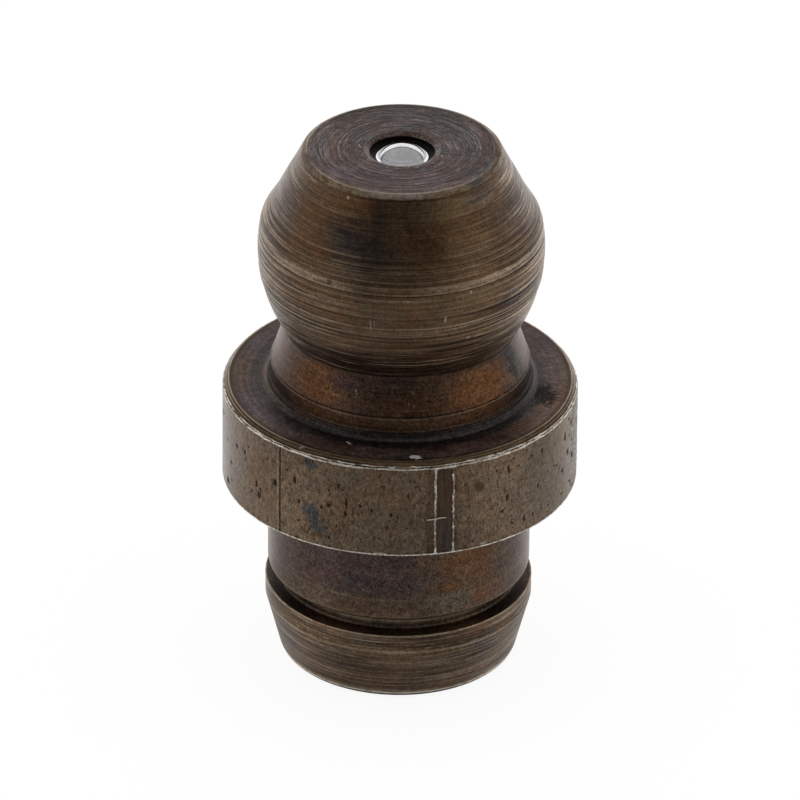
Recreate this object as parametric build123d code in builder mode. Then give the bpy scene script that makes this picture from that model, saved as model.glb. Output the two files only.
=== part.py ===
from build123d import *
import math
import os

# Push-in grease nipple: a turned steel body, a check ball and a check spring.
# Millimetres. Origin: centre of the lower end face. +Z runs up the axis to the inlet.

# Overall heights, measured from the lower end face
SEAT_Z = 4.50            # underside of the collar, which stops on the machine
COLLAR_TOP_Z = 6.90
NECK_TOP_Z = 8.34        # crease between the neck and the underside of the head
HEAD_CENTRE_Z = 10.24    # centre of the ball-shaped part of the head
CONE_FOOT_Z = 11.105     # where the head's cone runs into its ball-shaped part
FACE_Z = 12.76           # flat top face of the head

# Head
HEAD_R = 3.25            # standard 6.5 mm head
CONE_FACE_R = 2.25       # where the cone would meet the top face
FACE_EDGE_R = 0.18       # rounding of the top edge
NECK_CREASE_R = 0.20     # tool radius in the crease under the head

# Neck: a flare, a short land with a turned line at each end, a small root radius
FLARE_FOOT_R = 2.93
FLARE_FOOT_Z = 7.475
LAND_TOP_R = 2.955
LAND_TOP_Z = 7.435
LAND_FOOT_R = 2.975
LAND_FOOT_Z = 7.10
LAND_STEP = 0.03
ROOT_R = 0.17

# Collar
COLLAR_R = 4.05
COLLAR_BEVEL_R = 0.11    # radial size of the upper bevel
COLLAR_BEVEL_Z = 0.145   # its height
COLLAR_FOOT_BEVEL = 0.04

# Press-in shank with an undercut and a barb ring at its foot
SHANK_R = 3.00
SHANK_ROOT_R = 0.10
SHANK_END_Z = 2.17
SHANK_END_R = 0.16       # rolled-over lower edge of the shank
UNDERCUT_R = 2.70
RING_TOP_Z = 1.845
RING_R = 3.055
RING_FOOT_Z = 1.41       # lower end of the ring's cylindrical part
TAPER_FOOT_R = 2.76
TAPER_FOOT_Z = 0.30
END_FACE_R = 2.47        # outer edge of the lower end face

# Passage
INLET_R = 0.733
INLET_LIP_R = 0.12       # radial size of the shallow chamfer at the mouth
INLET_LIP_Z = 0.06       # its depth
INLET_LEDGE_Z = 12.605   # ledge in the inlet, above the seat
SEAT_EDGE_R = 0.592
SEAT_EDGE_Z = 12.575
SEAT_LAND = 0.01
SEAT_HALF_ANGLE = 40.0
BORE_R = 0.95

# Staked lower end: a punched ring groove folds a lip in under the spring
LIP_R = 0.66
LIP_TOP_Z = 0.40
LIP_SINK = 0.06          # the folded lip lies a little above the end face
STAKE_IN_R = 1.12
STAKE_MID_R = 1.27
STAKE_OUT_R = 1.52
STAKE_DEPTH = 0.26

# Check ball, 1/16 inch
BALL_R = 0.794
BALL_GAP = 0.006         # clearance to the seat cone in the closed position

# Check spring, closed and ground at both ends
WIRE_R = 0.125
COIL_R = 0.725
ACTIVE_TURNS = 12
END_TURNS = 1.0
END_PITCH = 0.27
SPRING_FOOT_Z = 0.41
SPRING_TOP_Z = 11.475

head_top_r = math.sqrt(HEAD_R ** 2 - (CONE_FOOT_Z - HEAD_CENTRE_Z) ** 2)
head_foot_r = math.sqrt(HEAD_R ** 2 - (HEAD_CENTRE_Z - NECK_TOP_Z) ** 2)
seat_tan = math.tan(math.radians(SEAT_HALF_ANGLE))
seat_start_z = SEAT_EDGE_Z - SEAT_LAND
seat_foot_z = seat_start_z - (BORE_R - SEAT_EDGE_R) / seat_tan

# The ball touches the cone on the circle where its radius stands square to the cone.
contact_r = BALL_R * math.cos(math.radians(SEAT_HALF_ANGLE))
contact_z = seat_start_z - (contact_r - SEAT_EDGE_R) / seat_tan
lift = math.sin(math.radians(SEAT_HALF_ANGLE))
ball_z = contact_z - BALL_R * lift - BALL_GAP / lift

os.makedirs("parts", exist_ok=True)


# Turned body: one half section, revolved about the axis.
with BuildPart() as nipple_body:
    with BuildSketch(Plane.XZ) as section:
        with BuildLine():
            Polyline(
                (INLET_R + INLET_LIP_R, FACE_Z),
                (CONE_FACE_R, FACE_Z),
                (head_top_r, CONE_FOOT_Z),
            )
            ThreePointArc(
                (head_top_r, CONE_FOOT_Z),
                (HEAD_R, HEAD_CENTRE_Z),
                (head_foot_r, NECK_TOP_Z),
            )
            Polyline(
                (head_foot_r, NECK_TOP_Z),
                (FLARE_FOOT_R, FLARE_FOOT_Z),
                (LAND_TOP_R, LAND_TOP_Z),
                (LAND_FOOT_R, LAND_FOOT_Z),
                (LAND_FOOT_R + LAND_STEP, LAND_FOOT_Z - LAND_STEP),
                (LAND_FOOT_R + LAND_STEP, COLLAR_TOP_Z),
                (COLLAR_R - COLLAR_BEVEL_R, COLLAR_TOP_Z),
                (COLLAR_R, COLLAR_TOP_Z - COLLAR_BEVEL_Z),
                (COLLAR_R, SEAT_Z + COLLAR_FOOT_BEVEL),
                (COLLAR_R - COLLAR_FOOT_BEVEL, SEAT_Z),
                (SHANK_R, SEAT_Z),
                (SHANK_R, SHANK_END_Z),
                (UNDERCUT_R, SHANK_END_Z),
                (UNDERCUT_R, RING_TOP_Z),
                (RING_R, RING_TOP_Z),
                (RING_R, RING_FOOT_Z),
                (TAPER_FOOT_R, TAPER_FOOT_Z),
            )
            # Rounded lower edge, running flat into the end face
            Spline(
                (TAPER_FOOT_R, TAPER_FOOT_Z),
                (2.665, 0.085),
                (END_FACE_R, 0),
                tangents=((TAPER_FOOT_R - RING_R, TAPER_FOOT_Z - RING_FOOT_Z), (-1, 0)),
            )
            Polyline(
                (END_FACE_R, 0),
                (STAKE_OUT_R, 0),
                (STAKE_MID_R, STAKE_DEPTH),
                (STAKE_IN_R, LIP_SINK),
                (LIP_R + 0.05, LIP_SINK),
                (LIP_R, LIP_SINK + 0.05),
                (LIP_R, LIP_TOP_Z),
                (BORE_R, LIP_TOP_Z),
                (BORE_R, seat_foot_z),
                (SEAT_EDGE_R, seat_start_z),
                (SEAT_EDGE_R, SEAT_EDGE_Z),
                (INLET_R, INLET_LEDGE_Z),
                (INLET_R, FACE_Z - INLET_LIP_Z),
                (INLET_R + INLET_LIP_R, FACE_Z),
            )
        make_face()
        fillet(section.vertices().sort_by_distance((head_foot_r, NECK_TOP_Z, 0))[0], radius=NECK_CREASE_R)
    revolve(axis=Axis.Z)

    def circle_at(radius, height):
        """The turned edge of the given radius and height."""
        found = [
            e for e in nipple_body.edges().filter_by(GeomType.CIRCLE)
            if abs(e.radius - radius) < 1e-3 and abs(e.arc_center.Z - height) < 1e-3
        ]
        return found[0]

    fillet(circle_at(CONE_FACE_R, FACE_Z), radius=FACE_EDGE_R)
    fillet(circle_at(LAND_FOOT_R + LAND_STEP, COLLAR_TOP_Z), radius=ROOT_R - LAND_STEP)
    fillet(circle_at(SHANK_R, SEAT_Z), radius=SHANK_ROOT_R)
    fillet(circle_at(SHANK_R, SHANK_END_Z), radius=SHANK_END_R)
    fillet(circle_at(UNDERCUT_R, SHANK_END_Z), radius=0.06)
    fillet(circle_at(UNDERCUT_R, RING_TOP_Z), radius=0.06)
nipple_body.part.label = "nipple_body"
export_step(nipple_body.part, "parts/nipple_body.step")


# Hardened steel ball, held up against the seat cone.
with BuildPart() as check_ball:
    with BuildSketch(Plane.XZ):
        with BuildLine():
            Line((0, ball_z - BALL_R), (0, ball_z + BALL_R))
            ThreePointArc((0, ball_z + BALL_R), (BALL_R, ball_z), (0, ball_z - BALL_R))
        make_face()
    revolve(axis=Axis.Z)
check_ball.part.label = "check_ball"
export_step(check_ball.part, "parts/check_ball.step")


# Compression spring. Three helices, joined by balls of the wire's size: a closed
# coil at each end and the open coils between them. Both ends are ground flat.
coil_foot_z = SPRING_FOOT_Z + 0.3 * WIRE_R
coil_top_z = SPRING_TOP_Z - 0.3 * WIRE_R
end_height = END_TURNS * END_PITCH
open_height = coil_top_z - coil_foot_z - 2 * end_height
open_pitch = open_height / ACTIVE_TURNS

with BuildPart() as check_spring:
    for start_z, height, pitch in (
        (coil_foot_z, end_height, END_PITCH),
        (coil_foot_z + end_height, open_height, open_pitch),
        (coil_top_z - end_height, end_height, END_PITCH),
    ):
        with BuildLine() as coil:
            Helix(pitch=pitch, height=height, radius=COIL_R, center=(0, 0, start_z))
        with BuildSketch(Plane(origin=coil.line @ 0, z_dir=coil.line % 0)):
            Circle(WIRE_R)
        sweep(path=coil.line, is_frenet=True)
    for z in (coil_foot_z, coil_foot_z + end_height, coil_top_z - end_height, coil_top_z):
        with Locations((COIL_R, 0, z)):
            Sphere(WIRE_R)
    with Locations((0, 0, SPRING_FOOT_Z)):
        Cylinder(1, 1, align=(Align.CENTER, Align.CENTER, Align.MAX), mode=Mode.SUBTRACT)
    with Locations((0, 0, SPRING_TOP_Z)):
        Cylinder(1, 1, align=(Align.CENTER, Align.CENTER, Align.MIN), mode=Mode.SUBTRACT)
check_spring.part.label = "check_spring"
export_step(check_spring.part, "parts/check_spring.step")
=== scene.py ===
import math

import bpy
import numpy as np
from mathutils import Matrix, Vector


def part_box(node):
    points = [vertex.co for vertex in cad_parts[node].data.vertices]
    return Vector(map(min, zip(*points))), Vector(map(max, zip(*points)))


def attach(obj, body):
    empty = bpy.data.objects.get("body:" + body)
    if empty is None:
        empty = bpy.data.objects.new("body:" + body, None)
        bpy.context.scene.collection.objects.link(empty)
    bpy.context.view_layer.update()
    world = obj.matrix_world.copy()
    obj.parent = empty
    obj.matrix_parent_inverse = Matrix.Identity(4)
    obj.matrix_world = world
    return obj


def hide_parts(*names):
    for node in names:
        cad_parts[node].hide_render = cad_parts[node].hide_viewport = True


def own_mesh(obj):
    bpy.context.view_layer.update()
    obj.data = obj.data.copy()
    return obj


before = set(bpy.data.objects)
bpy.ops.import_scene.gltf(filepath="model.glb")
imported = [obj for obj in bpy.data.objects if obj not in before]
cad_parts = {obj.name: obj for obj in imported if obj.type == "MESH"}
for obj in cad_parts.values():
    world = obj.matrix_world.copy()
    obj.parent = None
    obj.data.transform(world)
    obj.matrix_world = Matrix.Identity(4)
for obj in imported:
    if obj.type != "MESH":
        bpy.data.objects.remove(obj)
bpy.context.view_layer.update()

# Push-in grease nipple. The code works in millimetres and degrees and writes metres.
# phi is the angle about the axis: -90 faces the camera, 180 is the left side, 0 the right.
MM = 0.001

# ------------------------------------------------------------------ small tools

rng = np.random.default_rng(7)


def smooth01(x):
    x = np.clip(x, 0.0, 1.0)
    return x * x * (3 - 2 * x)


def wrap(d):
    """An angle difference in degrees, from -180 to 180."""
    return (d + 180.0) % 360.0 - 180.0


def window(phi, lo, hi, soft):
    """1 between lo and hi degrees, falling to 0 over soft degrees outside them."""
    mid, half = (lo + hi) / 2, (hi - lo) / 2
    return smooth01((half + soft - np.abs(wrap(phi - mid))) / max(soft, 1e-6))


def waver(phi, seed, lo=0.0, hi=1.0, waves=7):
    """A smooth random line round the circle, from lo to hi."""
    g = np.random.default_rng(seed)
    a = np.radians(phi)
    out = np.zeros_like(a)
    total = 0.0
    for k in range(1, waves + 1):
        amp = g.uniform(0.4, 1.0) / math.sqrt(k)
        out += amp * np.sin(k * a + g.uniform(0, 2 * math.pi))
        total += amp * 0.6
    return lo + (hi - lo) * np.clip(0.5 + 0.5 * out / total, 0, 1)


def arc_points(p0, corner, p1, radius, count):
    """Points of the fillet of a corner between two straight runs, in (r, z)."""
    p0, c, p1 = (np.array(p, float) for p in (p0, corner, p1))
    a, b = (p0 - c) / np.linalg.norm(p0 - c), (p1 - c) / np.linalg.norm(p1 - c)
    half = math.acos(np.clip(a @ b, -1, 1)) / 2
    t = radius / math.tan(half)
    start, end = c + a * t, c + b * t
    mid = (a + b) / np.linalg.norm(a + b)
    centre = c + mid * radius / math.sin(half)
    u, v = start - centre, end - centre
    turn = math.atan2(u[0] * v[1] - u[1] * v[0], u @ v)
    return [
        tuple(centre + np.array([
            u[0] * math.cos(turn * k) - u[1] * math.sin(turn * k),
            u[0] * math.sin(turn * k) + u[1] * math.cos(turn * k),
        ]))
        for k in np.linspace(0, 1, count)
    ]


def catmull(xs, ys, x):
    """Smooth interpolation through given points, xs rising."""
    xs, ys, x = np.array(xs, float), np.array(ys, float), np.asarray(x, float)
    m = np.gradient(ys, xs)
    i = np.clip(np.searchsorted(xs, x) - 1, 0, len(xs) - 2)
    h = xs[i + 1] - xs[i]
    t = np.clip((x - xs[i]) / h, 0, 1)
    return (
        (2 * t**3 - 3 * t**2 + 1) * ys[i] + (t**3 - 2 * t**2 + t) * h * m[i]
        + (-2 * t**3 + 3 * t**2) * ys[i + 1] + (t**3 - t**2) * h * m[i + 1]
    )


def filled(values, step):
    """Sorted values, with the gaps wider than step divided evenly and near twins dropped."""
    values = sorted(values)
    kept = [values[0]]
    for v in values[1:]:
        if v - kept[-1] > 0.006:
            kept.append(v)
    out = [kept[0]]
    for a, b in zip(kept, kept[1:]):
        n = max(1, int(math.ceil((b - a) / step - 1e-9)))
        out += [a + (b - a) * k / n for k in range(1, n + 1)]
    return np.array(out)


# ------------------------------------------------------------------ the turned body

SEAM, CUT_A, CUT_B = -131.75, -78.3, -72.35
COARSE = np.round(np.arange(96) * 3.75 - 180.0, 4)
FINE = np.round(np.concatenate([np.arange(480) * 0.375 - 180.0, np.arange(240) * 0.75]), 4)
EXTRA = [
    round(c + d, 4)
    for c, reach in ((SEAM - 0.3, 0.9), (CUT_A, 0.75), (CUT_B, 0.75))
    for d in np.arange(-reach, reach + 0.01, 0.117)
]
FINE = np.array(sorted(set(FINE) | {e for e in EXTRA if np.min(np.abs(wrap(FINE - e))) > 0.04}))


class Lathe:
    """Collects rings from the inlet over the outside to the lower end and back up the bore."""

    def __init__(self):
        self.rings = []

    def ring(self, phi, r, z, mat, line=0.0, pit=0.0):
        phi = np.asarray(phi, float)
        one = np.ones_like(phi)
        self.rings.append({"phi": phi, "r": r * one, "z": z * one, "mat": mat, "line": line * one, "pit": pit * one})


lathe = Lathe()

# Radius of the head by height: the cone and the ball, with the small waves the real turning left.
HEAD_R, HEAD_Z = 3.25, 10.24
CONE_FOOT_Z = 11.105
WAVE_Z = [8.42, 8.74, 8.99, 9.24, 9.49, 9.74, 9.99, 10.24, 10.49, 10.74, 10.99, 11.24, 11.49, 11.74, 11.99, 12.19, 12.39, 12.66]
WAVE_R = [0.0, -0.020, -0.018, -0.018, -0.018, -0.003, -0.010, 0.000, 0.004, 0.008, 0.012, -0.016, -0.036, -0.031, -0.025, -0.027, -0.026, -0.018]


def head_radius(z):
    z = np.asarray(z, float)
    top = math.sqrt(HEAD_R**2 - (CONE_FOOT_Z - HEAD_Z) ** 2)
    cone = 2.25 + (12.76 - z) * (top - 2.25) / (12.76 - CONE_FOOT_Z)
    ball = np.sqrt(np.maximum(HEAD_R**2 - (z - HEAD_Z) ** 2, 0.01))
    return np.where(z > CONE_FOOT_Z, cone, ball) + catmull(WAVE_Z, WAVE_R, z)


# Turned lines on the head: height, half width, depth (+ cuts in, - stands out), tone (- dark, + light), from and to phi.
ALL = (-180, 180)
HEAD_LINES = [
    (12.46, 0.020, -0.003, 0.5, -60, -25),
    (12.38, 0.015, 0.002, -0.3, -150, -60),
    (12.30, 0.015, 0.002, -0.3, -80, 0),
    (12.23, 0.022, -0.004, 0.5, -140, -55),
    (12.18, 0.018, 0.004, -0.6, -140, -45),
    (12.09, 0.015, 0.002, -0.3, -175, -120),
    (12.03, 0.018, -0.003, 0.5, -135, -112),
    (12.01, 0.018, 0.004, -0.6, -65, -25),
    (11.92, 0.015, 0.002, -0.35, -60, 20),
    (11.84, 0.015, -0.002, 0.25, -180, -100),
    (11.77, 0.020, 0.005, -0.7, -50, -22),
    (11.70, 0.015, 0.002, -0.3, -170, -100),
    (11.62, 0.014, 0.002, -0.3, -60, 10),
    (11.55, 0.014, -0.002, 0.3, -180, -110),
    (11.46, 0.030, -0.005, 0.6, -150, -15),
    (11.37, 0.022, 0.006, -0.7, -180, 30),
    (11.31, 0.018, -0.003, 0.5, -170, -10),
    (11.27, 0.016, 0.004, -0.6, -180, 20),
    (11.20, 0.022, -0.003, 0.5, -160, -20),
    (11.16, 0.018, 0.005, -0.8, -70, 20),
    (11.08, 0.016, 0.003, -0.4, -180, -90),
    (10.99, 0.022, 0.004, -0.8, -180, 180),
    (10.895, 0.032, -0.005, 0.8, -180, 180),
    (10.815, 0.025, 0.004, -0.5, -180, 180),
    (10.745, 0.030, -0.005, 0.9, -180, 180),
    (10.705, 0.016, 0.008, -1.0, -180, 180),
    (10.66, 0.014, 0.002, -0.4, -130, -60),
    (10.61, 0.018, -0.004, 0.6, -180, 180),
    (10.54, 0.024, 0.005, -0.7, -180, 180),
    (10.47, 0.018, -0.003, 0.5, -180, 180),
    (10.40, 0.014, 0.003, -0.4, -180, 180),
    (10.34, 0.014, -0.002, 0.35, -160, -40),
    (10.28, 0.014, 0.003, -0.45, -180, 180),
    (10.23, 0.013, 0.002, -0.3, -120, -20),
    (10.17, 0.018, -0.003, 0.5, -180, 180),
    (10.11, 0.017, 0.005, -0.7, -180, 180),
    (10.05, 0.013, -0.002, 0.3, -150, -30),
    (10.00, 0.013, 0.002, -0.35, -180, 180),
    (9.95, 0.020, 0.007, -0.95, -180, 180),
    (9.88, 0.026, -0.005, 0.8, -180, 180),
    (9.82, 0.016, 0.005, -0.7, -180, 180),
    (9.785, 0.012, -0.002, 0.4, -160, -30),
    (9.76, 0.014, 0.004, -0.6, -180, 180),
    (9.71, 0.014, 0.004, -0.7, -180, 180),
    (9.67, 0.022, -0.006, 1.0, -180, 180),
    (9.61, 0.020, 0.009, -1.0, -180, 180),
    (9.55, 0.018, -0.004, 0.6, -180, 180),
    (9.49, 0.013, 0.004, -0.6, -180, 180),
    (9.42, 0.014, -0.001, 0.25, -140, -40),
    (9.35, 0.013, 0.002, -0.3, -120, -50),
    (9.24, 0.013, -0.003, 0.5, -150, -40),
    (9.20, 0.013, 0.004, -0.7, -150, -40),
    (9.14, 0.012, 0.002, -0.35, -80, 20),
    (9.07, 0.012, 0.002, -0.4, -80, 20),
    (8.97, 0.012, -0.001, 0.2, -120, -40),
    (8.86, 0.012, 0.001, -0.2, -140, -60),
    (8.70, 0.012, -0.001, 0.15, -120, -60),
]


def turned(z, phi, lines, seed):
    """Radial offset and tone of the turned lines at one height, round the circle."""
    d, tone = np.zeros_like(phi), np.zeros_like(phi)
    for k, (lz, half, depth, value, lo, hi) in enumerate(lines):
        u = abs(z - lz) / half
        if u >= 1:
            continue
        shape = 1 - smooth01(u)
        amount = waver(phi, seed + k, 0.5, 1.0)
        if hi - lo < 359:
            amount = amount * window(phi, lo, hi, 18)
        d -= depth * shape * amount
        tone += value * shape * amount
    return d, tone


phi_c = COARSE

# Inlet: the ledge above the seat, the wall, and the shallow chamfer at the mouth
for r, z in ((0.592, 12.568), (0.600, 12.5765), (0.660, 12.589), (0.722, 12.603), (0.733, 12.614), (0.733, 12.655), (0.7335, 12.694)):
    lathe.ring(phi_c, r, z, "bore")
# the chamfer's lighter tones are a painted highlight along the mouth's lip
for r, z, t in ((0.742, 12.7055, 0.15), (0.775, 12.722, 0.62), (0.812, 12.740, 0.60), (0.843, 12.7545, 0.50), (0.856, 12.7585, 0.10)):
    lathe.ring(phi_c, r, z, "face", line=t + 0.12 * waver(phi_c, int(1000 * r), -1, 1, 20))

# Top face with concentric turning marks
for k, r in enumerate(np.linspace(0.885, 2.115, 34)):
    g = np.random.default_rng(300 + k)
    wave = waver(phi_c, 400 + k, -1, 1)
    lathe.ring(phi_c, r, 12.7585 - 0.0016 * g.random() - 0.0006 * wave, "face", line=g.uniform(-0.26, 0.20) + 0.12 * wave)

# Rounded upper edge, with a nick at the right
edge = arc_points((1.0, 12.76), (2.236, 12.76), (float(head_radius(12.3)), 12.3), 0.17, 7)
for k, (r, z) in enumerate(edge):
    nick = 0.030 * window(phi_c, -9.0, -6.5, 2.8)
    wave = 0.004 * waver(phi_c, 640, -1, 1, 30)
    lathe.ring(phi_c, r - nick * 0.6 + wave, z - nick * (0.5 if k < 5 else 0.2), "face" if k == 0 else "head", line=0.0)

# Cone and ball of the head
keys = [edge[-1][1] - 0.02, 8.43]
for z, half, *_ in HEAD_LINES:
    keys += [z - half, z, z + half]
keys = [k for k in keys if 8.43 <= k <= edge[-1][1] - 0.02]
for i, z in enumerate(filled(keys, 0.042)[::-1]):
    d, tone = turned(z, phi_c, HEAD_LINES, 1000)
    g = np.random.default_rng(2000 + i)
    fine = 0.0009 * waver(phi_c, 3000 + i, -1, 1)
    lathe.ring(phi_c, head_radius(z) + 1.3 * d + fine, z, "head", line=1.05 * tone + g.uniform(-0.16, 0.16) * waver(phi_c, 3500 + i, 0.2, 1))

# Crease under the head, darkened with painted shade, and the flared neck
neck_top, neck_foot = (2.637, 8.34), (2.93, 7.475)
sphere_run = (2.637 + 0.585, 8.34 + 0.811)
for r, z in arc_points(sphere_run, neck_top, neck_foot, 0.20, 7):
    lathe.ring(phi_c, r, z, "neck", line=-0.35)
NECK_LINES = [
    (8.10, 0.014, 0.003, -0.08, -150, -30), (8.00, 0.014, 0.002, -0.06, -180, 180), (7.90, 0.014, -0.002, 0.04, -150, -30),
    (7.82, 0.014, 0.003, -0.10, -180, 180), (7.74, 0.014, -0.002, 0.04, -180, 180), (7.66, 0.014, 0.003, -0.10, -160, -20),
    (7.58, 0.013, 0.003, -0.12, -180, 180), (7.52, 0.013, -0.002, 0.05, -180, 180),
]
for i, z in enumerate(filled([8.22, 7.50] + [z + k * h for z, h, *_ in NECK_LINES for k in (-1, 0, 1)], 0.05)[::-1]):
    r = 2.637 + (8.34 - z) * (2.93 - 2.637) / (8.34 - 7.475)
    d, tone = turned(z, phi_c, NECK_LINES, 5000)
    lathe.ring(phi_c, r + d, z, "neck", line=tone)
# Turned line, land, turned line, root radius
for r, z, t in (
    (2.931, 7.480, -0.1), (2.936, 7.468, -1.0), (2.943, 7.455, -1.1), (2.955, 7.440, 0.25), (2.956, 7.41, 0.10),
    (2.958, 7.37, -0.1), (2.960, 7.33, 0.05), (2.962, 7.29, -0.15), (2.965, 7.25, 0.05), (2.968, 7.21, -0.1), (2.970, 7.17, 0.05),
    (2.973, 7.13, 0.10), (2.975, 7.112, 0.20), (2.979, 7.100, -1.0), (2.988, 7.088, -1.1), (3.002, 7.072, -0.2),
):
    lathe.ring(phi_c, r, z, "neck", line=t)
for k, (r, z) in enumerate(arc_points((3.005, 7.3), (3.005, 6.90), (3.5, 6.90), 0.15, 6)):
    lathe.ring(phi_c, r, z, "neck", line=-0.1)
# Top of the collar
for k, r in enumerate(np.linspace(3.20, 3.875, 16)):
    g = np.random.default_rng(6000 + k)
    wave = waver(phi_c, 6100 + k, -1, 1)
    lathe.ring(phi_c, r, 6.899 - 0.0007 * g.random() - 0.0006 * wave, "top", line=g.uniform(-0.25, 0.12) + 0.12 * wave - (0.3 if r > 3.80 else 0.0))

# Collar: a bevel with a rolled, torn edge, the side with its pits, and the lower edge
phi_f = FINE


def rough_line(phi, seed, fine, coarse):
    """Irregular edge: short random steps on a slower random line."""
    g = np.random.default_rng(seed)
    out = np.zeros_like(phi)
    a = np.radians(phi)
    for k in list(range(5, 40, 5)) + list(range(40, 400, 11)):
        amp = coarse / 6 if k < 40 else fine / 5
        out += amp * g.normal() * np.sin(k * a + g.uniform(0, 6.3))
    return out


def bump_at(phi, centre, half):
    return 1 - smooth01(np.abs(wrap(phi - centre)) / half)


# Pits in the collar's side: phi, height, half width in degrees, half height in mm, depth from 0 to 1
PITS = [
    (-172.3, 6.24, 1.8, .06, .7), (-166, 6.29, 1.2, .04, .3), (-164.5, 5.82, 1.0, .05, .4), (-155.5, 5.99, 1.0, .05, .8), (-151.2, 6.08, .5, .04, .6),
    (-150, 6.03, .8, .05, .9), (-149, 5.90, .5, .03, .5), (-147.5, 6.25, .7, .04, .6), (-151.4, 5.65, .6, .04, .5), (-160.5, 5.38, 1.0, .05, .7),
    (-161, 5.51, .8, .04, .3), (-145.4, 5.18, .6, .04, .8), (-143, 5.45, .5, .09, 1.0), (-141.0, 5.35, .5, .06, .8), (-141.6, 5.19, .9, .07, 1.0),
    (-138, 5.47, .35, .07, .4), (-133.8, 5.74, .65, .10, 1.0), (-134.1, 6.26, .5, .03, .6), (-164.2, 4.77, 1.3, .07, 1.0), (-160, 4.95, .8, .03, .6),
    (-127.5, 6.40, .4, .05, .5), (-128.6, 6.21, .5, .04, .6), (-125.6, 6.03, .55, .08, .9), (-123.4, 5.82, .4, .03, .5), (-123.9, 5.53, .5, .05, .8),
    (-129, 5.64, .5, .03, .4), (-129.2, 5.22, .5, .03, .5), (-127, 5.21, .5, .04, .5), (-124, 5.04, .4, .04, .6), (-119.9, 4.92, .5, .07, .6),
    (-122.6, 4.81, .4, .03, .5), (-121, 4.68, .7, .03, .4), (-120.4, 5.91, .5, .03, .4), (-115.5, 5.54, .6, .04, .8), (-113, 5.63, .9, .04, .9),
    (-111.2, 5.41, .4, .03, .5), (-109.6, 6.18, .6, .04, .9), (-108.6, 6.10, .5, .03, .6), (-107.0, 5.78, .4, .12, .8), (-107.3, 5.49, .45, .08, .9),
    (-102.4, 5.75, .5, .035, 1.0), (-98.7, 5.66, .6, .035, .9), (-99, 6.08, .4, .03, .6), (-113.8, 5.04, .4, .04, .6), (-112.6, 4.81, .6, .04, .5),
    (-110.4, 5.12, .3, .06, .5), (-124.5, 4.59, .5, .03, .9), (-113, 6.02, .5, .04, .4), (-87.1, 6.06, .35, .06, .9), (-92.5, 5.57, .45, .06, .8),
    (-93, 5.41, .35, .04, .6), (-88.9, 5.54, .4, .03, .6), (-87.6, 5.23, .4, .03, .6), (-81.5, 5.94, .5, .03, .5), (-83.9, 5.72, .4, .03, .4),
    (-92.7, 6.14, .4, .03, .4), (-95.8, 6.30, .35, .03, .4), (-94.4, 6.29, .3, .03, .4), (-83.7, 6.48, .3, .03, .5), (-96, 4.92, .5, .03, .6),
    (-94.2, 4.77, .3, .03, .5), (-67.6, 5.24, .45, .035, .8), (-68.8, 6.23, .7, .03, .4), (-65.6, 4.72, .5, .03, .5), (-65.7, 5.50, .4, .03, .4),
    (-60.5, 6.50, .35, .03, .5), (-62.5, 6.32, .4, .05, .6), (-59.2, 6.32, .4, .03, .6), (-57.1, 6.38, .45, .035, .8), (-56.4, 6.42, .3, .03, .5),
    (-52.6, 6.37, .4, .05, .9), (-52.3, 6.27, .55, .05, .9), (-48.4, 6.31, .4, .03, .6), (-43.7, 6.35, .7, .035, .7), (-42.5, 6.42, .6, .03, .6),
    (-37.3, 6.38, .6, .05, .9), (-37.2, 6.29, .4, .03, .5), (-50.5, 6.55, .3, .05, .5), (-52.9, 5.62, .45, .06, .9), (-52.9, 5.54, .5, .04, .8),
    (-46.7, 6.01, .4, .03, .5), (-57, 5.84, .5, .06, .4), (-39.1, 5.52, .6, .04, .8), (-54.8, 5.27, .9, .035, .8), (-51.5, 5.24, .5, .03, .7),
    (-51.2, 5.07, .4, .035, .9), (-51.2, 4.95, .5, .035, .7), (-50.6, 4.87, .4, .03, .7), (-56.7, 4.94, .35, .04, .7), (-60.1, 4.76, .35, .06, .7),
    (-47.4, 4.96, .5, .03, .7), (-45.6, 4.86, .5, .07, 1.0), (-41.6, 4.87, .4, .06, .7), (-44.1, 5.33, .4, .03, .5), (-36, 5.59, .4, .04, .5),
    (-33.4, 4.83, .7, .03, .5), (-18.5, 6.55, .8, .035, .8), (-15.8, 6.39, 1.0, .05, 1.0), (-22, 6.28, .8, .04, .7), (-22.2, 6.18, 1.0, .05, .8),
    (-18.2, 6.12, .9, .03, .5), (-30, 6.31, .5, .03, .5), (-19.4, 5.73, 1.0, .08, .9), (-28.2, 5.70, .6, .04, .7), (-30, 5.74, .5, .05, .6),
    (-26.8, 5.57, .9, .03, .6), (-24.2, 5.41, .9, .05, .9), (-14, 5.47, 1.4, .07, 1.0), (-24.6, 4.83, .8, .04, .7), (-17, 4.89, .9, .04, .8),
]
# The rest of the way round they are scattered, in the same sizes
g = np.random.default_rng(77)
for _ in range(125):
    PITS.append((g.uniform(-2, 182), g.uniform(4.62, 6.66), g.uniform(0.35, 0.9), g.choice([0.03, 0.04, 0.05, 0.06, 0.09]), g.uniform(0.4, 1.0)))


def pit_field(phi, z):
    """0 outside the pits, rising to each pit's own depth at its middle."""
    out = np.zeros_like(phi)
    for p0, z0, w, h, depth in PITS:
        if abs(z - z0) > 2.0 * h:
            continue
        lean = 0.22 * math.sin(7.0 * p0 + 3.0 * z0)  # each one leans its own way
        d = np.sqrt(((wrap(phi - p0) + lean * (z - z0) / h * w) / (0.86 * w)) ** 2 + ((z - z0) / (0.92 * h)) ** 2)
        out = np.maximum(out, depth * smooth01((1.75 - d) / 1.4))
    return out


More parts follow.
